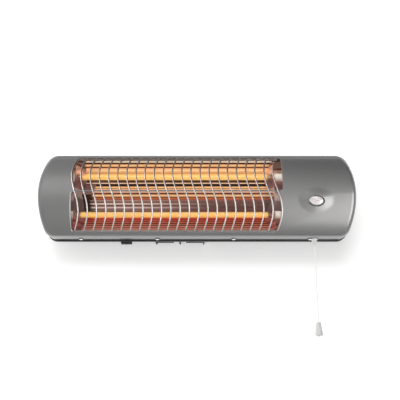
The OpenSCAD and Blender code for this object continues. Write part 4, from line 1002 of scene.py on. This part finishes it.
def addBracket(k):
    obj = bpy.data.objects.new("bracketPlate", nodes["wall_bracket"].data.copy())
    obj.data.name = "bracketPlate"
    scene.collection.objects.link(obj)
    b = bmesh.new()
    b.from_mesh(obj.data)
    bmesh.ops.remove_doubles(b, verts=b.verts, dist=k["merge"])
    b.to_mesh(obj.data)
    b.free()
    co = np.zeros(len(obj.data.vertices) * 3)
    obj.data.vertices.foreach_get("co", co)
    co = co.reshape(-1, 3)
    edge = k["keepAbove"] * mm
    co[:, 2] = np.where(co[:, 2] < edge, edge + (co[:, 2] - edge) * k["share"], co[:, 2])
    obj.data.vertices.foreach_set("co", co.ravel())
    obj.data.materials.clear()
    obj.data.materials.append(finishes["bracketPaint"])
    obj.data.update()
    return obj


bracket = addBracket(bracketSettings)
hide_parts("wall_bracket")
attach(bracket, "bracket")


# CAD nodes that keep their shape take a finish
nodeFinishes = {
    "hinge_pin": "zincSteel", "wing_nut": "zincSteel", "panel_rivets": "zincSteel",
    "hinge_barrels": "bracketPaint", "back_panel": "panelPaint", "left_end_bracket": "paintedReflectionSheet",
    "right_end_bracket": "paintedReflectionSheet", "tube_clips": "springSteel", "guard_rails": "rail",
    "lamp_holder": "whitePlastic", "neon_lamp": "neon", "switch_body": "whitePlastic",
    "switch_slider": "whitePlastic", "switch_terminals": "brass", "terminal_block": "whitePlastic",
    "terminal_screws": "brass", "earth_stud": "brass", "cable_gland": "blackPlastic",
    "inner_leads": "leadSleeve",
}
for name, finish in nodeFinishes.items():
    mesh = nodes[name].data
    mesh.materials.clear()
    mesh.materials.append(finishes[finish])
print("nodes dressed")


# White wall behind the heater, clear from its back; it keeps the shadow, and the light it gives off itself is
# only for the camera, metal and glass
wallSettings = {"size": 7.0, "behind": 0.0004, "colour": 0.8, "lift": 0.46}


def addWall(w):
    half, y = w["size"] / 2, w["behind"]
    pts = np.array([[-half, y, -half], [half, y, -half], [half, y, half], [-half, y, half]])
    m, t, shader = newMaterial("wallWhite")
    t.nodes.remove(shader)
    path = nodeOf(t, "LightPath", {}, None)
    seen = mathOf(t, "MAXIMUM", path["Is Camera Ray"], path["Is Glossy Ray"])
    seen = mathOf(t, "MAXIMUM", seen, path["Is Transmission Ray"])
    diffuse = nodeOf(t, "BsdfDiffuse", {"Color": (w["colour"], w["colour"], w["colour"], 1)})
    glow = nodeOf(t, "Emission", {"Strength": times(t, seen, w["lift"])})
    front = nodeOf(t, "AddShader", {0: diffuse, 1: glow})
    behind = nodeOf(t, "NewGeometry", out="Backfacing")
    oneSided = nodeOf(t, "MixShader", {0: behind, 1: front, 2: nodeOf(t, "BsdfTransparent")})
    t.links.new(oneSided, t.nodes["Material Output"].inputs["Surface"])
    finishes["wallWhite"] = m
    wall = meshPiece("wallPlane", pts, np.array([[0, 1, 2, 3]]), "wallWhite", False)
    return wall


wall = addWall(wallSettings)


# Room: dim all round, with soft lights high and low on the left and a small one high in front, darker
# overhead, and a bright panel at the lower right that only shows as a reflection; angles are in degrees
roomSettings = {
    "dim": 0.29, "tint": (1.0, 0.99, 0.98),
    "soft": {"azimuth": -45.0, "elevation": 38.0, "inner": 5.0, "outer": 62.0, "strength": 0.69},
    "spot": {"azimuth": -14.0, "elevation": 27.0, "inner": 1.0, "outer": 24.0, "strength": 0.9},
    "below": {"azimuth": -60.0, "elevation": -30.0, "inner": 5.0, "outer": 74.0, "strength": 0.47},
    "above": {"azimuth": 0.0, "elevation": 90.0, "inner": 10.0, "outer": 56.0, "strength": -0.22},
    "panel": {"left": 12.5, "edge": 1.0, "core": 16.0, "coreFull": 26.0, "right": 52.0, "fade": 12.0,
        "top": 11.0, "topEdge": 1.0, "low": -46.0, "lowFade": 10.0, "rim": 2.4, "strength": 5.8},
}
# The front lamp gives the shadow on the wall, the back one shows the side that is against the wall, and the
# last one lights the guard's wires alone
lampPlaces = {
    "front": {"azimuth": -4.0, "elevation": 25.8, "far": 3.0, "size": (1.4, 0.85), "power": 25.0},
    "back": {"azimuth": 205.0, "elevation": 25.0, "far": 3.0, "size": (1.6, 1.6), "power": 60.0},
    "wires": {"azimuth": -72.0, "elevation": 20.0, "far": 2.0, "size": (1.6, 1.6), "power": 70.0,
        "gloss": True},
}


# Direction from the object: azimuth to the right of the front, elevation above the horizon
def wayOf(azimuth, elevation):
    az, el = math.radians(azimuth), math.radians(elevation)
    return math.sin(az) * math.cos(el), -math.cos(az) * math.cos(el), math.sin(el)


# The soft lights fade with the angle from their middle; the panel's edges are set by azimuth and elevation
def addRoom(r):
    world = bpy.data.worlds.new("room")
    world.use_nodes = True
    t = world.node_tree
    way = nodeOf(t, "TexCoord", out="Generated")
    x, y, z = nodeOf(t, "SeparateXYZ", {0: way}, None)
    azimuth = mathOf(t, "ARCTAN2", x, times(t, y, -1.0))
    elevation = mathOf(t, "ARCSINE", z)
    rad = math.radians

    # Smooth change between two angles in degrees
    def easeAngle(angle, low, high):
        return easeOf(t, angle, rad(low), rad(high))

    p = r["panel"]
    sides = times(t, easeAngle(azimuth, p["left"] - p["edge"], p["left"] + p["edge"]),
        easeAngle(azimuth, p["right"] + p["fade"], p["right"] - p["fade"]))
    ends = times(t, easeAngle(elevation, p["top"] + p["topEdge"], p["top"] - p["topEdge"]),
        easeAngle(elevation, p["low"] - p["lowFade"], p["low"] + p["lowFade"]))
    core = times(t, easeAngle(azimuth, p["core"], p["coreFull"]), p["strength"] - p["rim"])
    panel = times(t, times(t, sides, ends), plus(t, core, p["rim"]))
    path = nodeOf(t, "LightPath", {}, None)
    total = plus(t, times(t, panel, path["Is Glossy Ray"]), r["dim"])
    for k in (r["soft"], r["spot"], r["below"], r["above"]):
        dot = nodeOf(t, "VectorMath", {0: way, 1: wayOf(k["azimuth"], k["elevation"])}, "Value",
            operation="DOT_PRODUCT")
        near = easeOf(t, dot, math.cos(rad(k["outer"])), math.cos(rad(k["inner"])))
        total = plus(t, total, times(t, near, k["strength"]))
    setInputs(t, t.nodes["Background"], {"Color": (*r["tint"], 1),
        "Strength": mathOf(t, "MAXIMUM", total, path["Is Camera Ray"])})
    scene.world = world


# Lamp that faces the heater; what lets its light through or is lit alone is named
def addLamp(name, l, letsThrough=None, lights=None):
    way = Vector(wayOf(l["azimuth"], l["elevation"]))
    data = bpy.data.lights.new(name, "AREA")
    data.shape = "ELLIPSE"
    data.size, data.size_y = l["size"]
    data.energy = l["power"]
    lamp = bpy.data.objects.new(name, data)
    lamp.location = way * l["far"]
    lamp.rotation_euler = (-way).to_track_quat("-Z", "Y").to_euler()
    lamp.visible_glossy = l.get("gloss", False)
    scene.collection.objects.link(lamp)
    if letsThrough:
        group = bpy.data.collections.new(name + "Clear")
        group.objects.link(letsThrough)
        group.collection_objects[0].light_linking.link_state = "EXCLUDE"
        lamp.light_linking.blocker_collection = group
    if lights:
        lamp.light_linking.receiver_collection = bpy.data.collections.new(name + "Lit")
        lamp.light_linking.receiver_collection.objects.link(lights)


addRoom(roomSettings)
addLamp("wallLamp", lampPlaces["front"])
addLamp("backLamp", lampPlaces["back"], wall)
addLamp("wireLamp", lampPlaces["wires"], None, guard)
scene.view_settings.view_transform = "Standard"
print("wall and room set")
